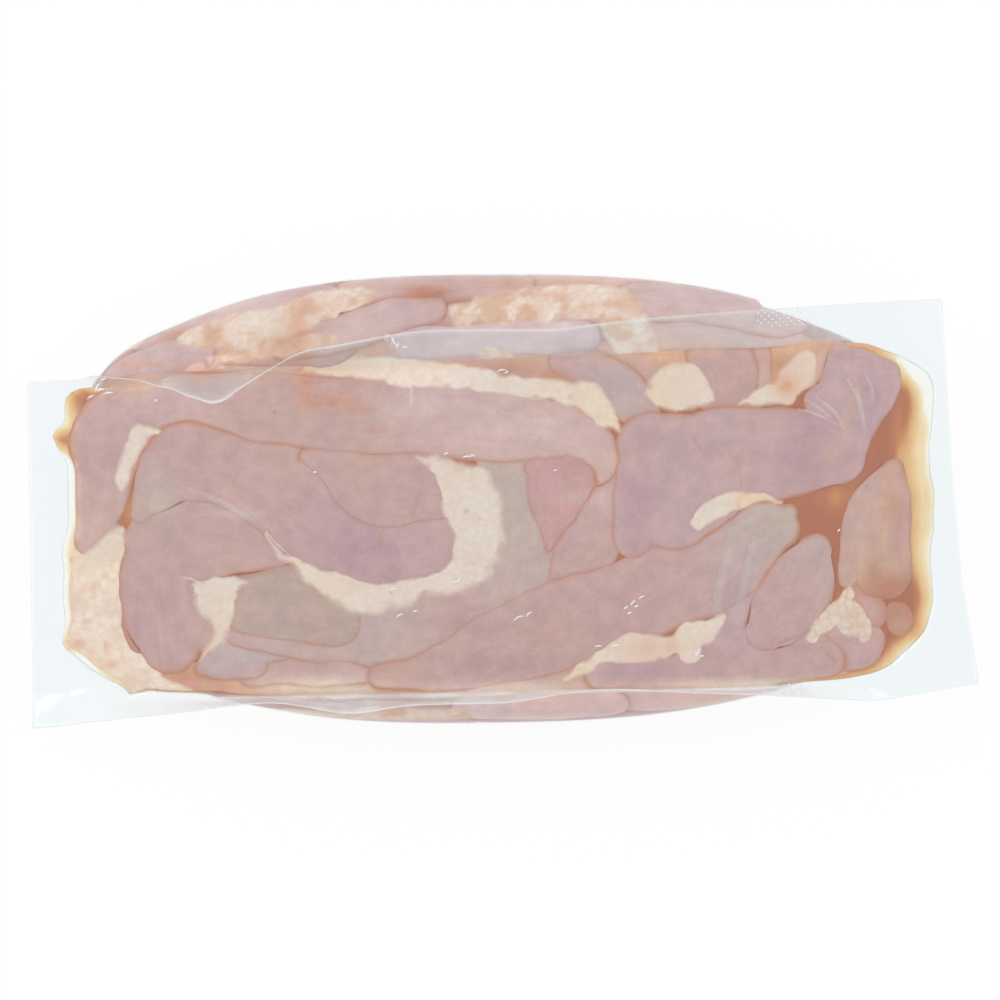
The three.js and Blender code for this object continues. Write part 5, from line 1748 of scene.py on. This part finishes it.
def add_crease(heap, haze_and_highlight, route):
    """A thin ridge that lies on the film, whitened by a painted value that fades to all sides.
    On a crease it is partly real whitening and partly painted sheen, on a glint a painted highlight.
    """
    flat, run, sideways, top = sweep(route, CREASE_STEP, CREASE_SPACING)
    across = sideways / np.maximum(np.abs(sideways).max(axis=1, keepdims=True), 1e-6)
    rise = CREASE_RISE * (1 - across ** 2)
    rise[:, top:] = -CREASE_SINK
    level = film_level(flat[..., 0], flat[..., 1]) + rise
    points = np.concatenate([flat, level[..., None]], axis=-1)
    fade = np.sin(math.pi * run / run[-1])[:, None] * (1 - across ** 2) ** 2
    heap.add_strip(points, np.ones(flat.shape[:2] + (4,)), haze_and_highlight * fade, np.zeros(points.shape))


crease_and_glint_heap = Heap()
for haze_and_highlight, width, route in CREASES:
    add_crease(crease_and_glint_heap, haze_and_highlight, [(x, y, width) for x, y in route])
# Each glint is a painted highlight: a tiny ridge painted white
for x, y, facing, half in GLINTS:
    along = half * np.array([math.cos(math.radians(facing)), math.sin(math.radians(facing))])
    bend = GLINT_BEND * np.array([-along[1], along[0]])
    knots = [(x - along[0], y - along[1], GLINT_TIP), (x + bend[0], y + bend[1], GLINT_WIDTH),
             (x + along[0], y + along[1], GLINT_TIP)]
    add_crease(crease_and_glint_heap, GLINT_HIGHLIGHT, knots)
print("film creases and glints:", len(CREASES) + len(GLINTS))

# %% Pressed dots of the heat seal
# Each patch of the seal that shows: lowest x, highest x, lowest y and highest y on the plan
SEAL_PATCHES = [(73.0, 90.0, 51.4, 56.4), (81.0, 89.0, -55.9, -52.4)]
SEAL_RISE = 0.12
SEAL_HALF = 0.38
SEAL_TIP = 0.05
SEAL_HAZE = 0.5
CREASE_TINT = "#FFFFFF"


def add_seal_dot(heap, middle):
    """A low diamond, closed, that stands on the rim."""
    corners = np.array([[1, 0, 0], [0, 1, 0], [-1, 0, 0], [0, -1, 0]], float)
    rows = [middle + SEAL_TIP * corners - [0, 0, SEAL_RISE], middle + SEAL_HALF * corners,
            middle + SEAL_TIP * corners + [0, 0, SEAL_RISE]]
    points = np.array(rows)
    heap.add_strip(points, np.ones((3, 4, 4)), np.full((3, 4), SEAL_HAZE), np.zeros(points.shape))


dots = 0
for low_x, high_x, low_y, high_y in SEAL_PATCHES:
    for spoke, ring in np.argwhere((rim_top[..., 0] > low_x) & (rim_top[..., 0] < high_x)
                                   & (rim_top[..., 1] > low_y) & (rim_top[..., 1] < high_y)):
        if (spoke + ring) % 2 == 0:
            add_seal_dot(crease_and_glint_heap, rim_top[spoke, ring])
            dots += 1
crease_and_glint_film = film_material("film_crease_whitening_and_painted_glints", CREASE_TINT)
crease_and_glint_points = np.concatenate(crease_and_glint_heap.points)
creases_and_glints = make_piece("film_creases_and_painted_glints", crease_and_glint_points, crease_and_glint_heap.faces, crease_and_glint_film)
paint(creases_and_glints.data, "haze_and_highlight", "FLOAT", np.concatenate(crease_and_glint_heap.juice))
creases_and_glints.visible_shadow = False
print("dots of the seal:", dots)

# %% [markdown]
# ## Finish
# The view layer is brought up to date.

# %% Finish
bpy.context.view_layer.update()
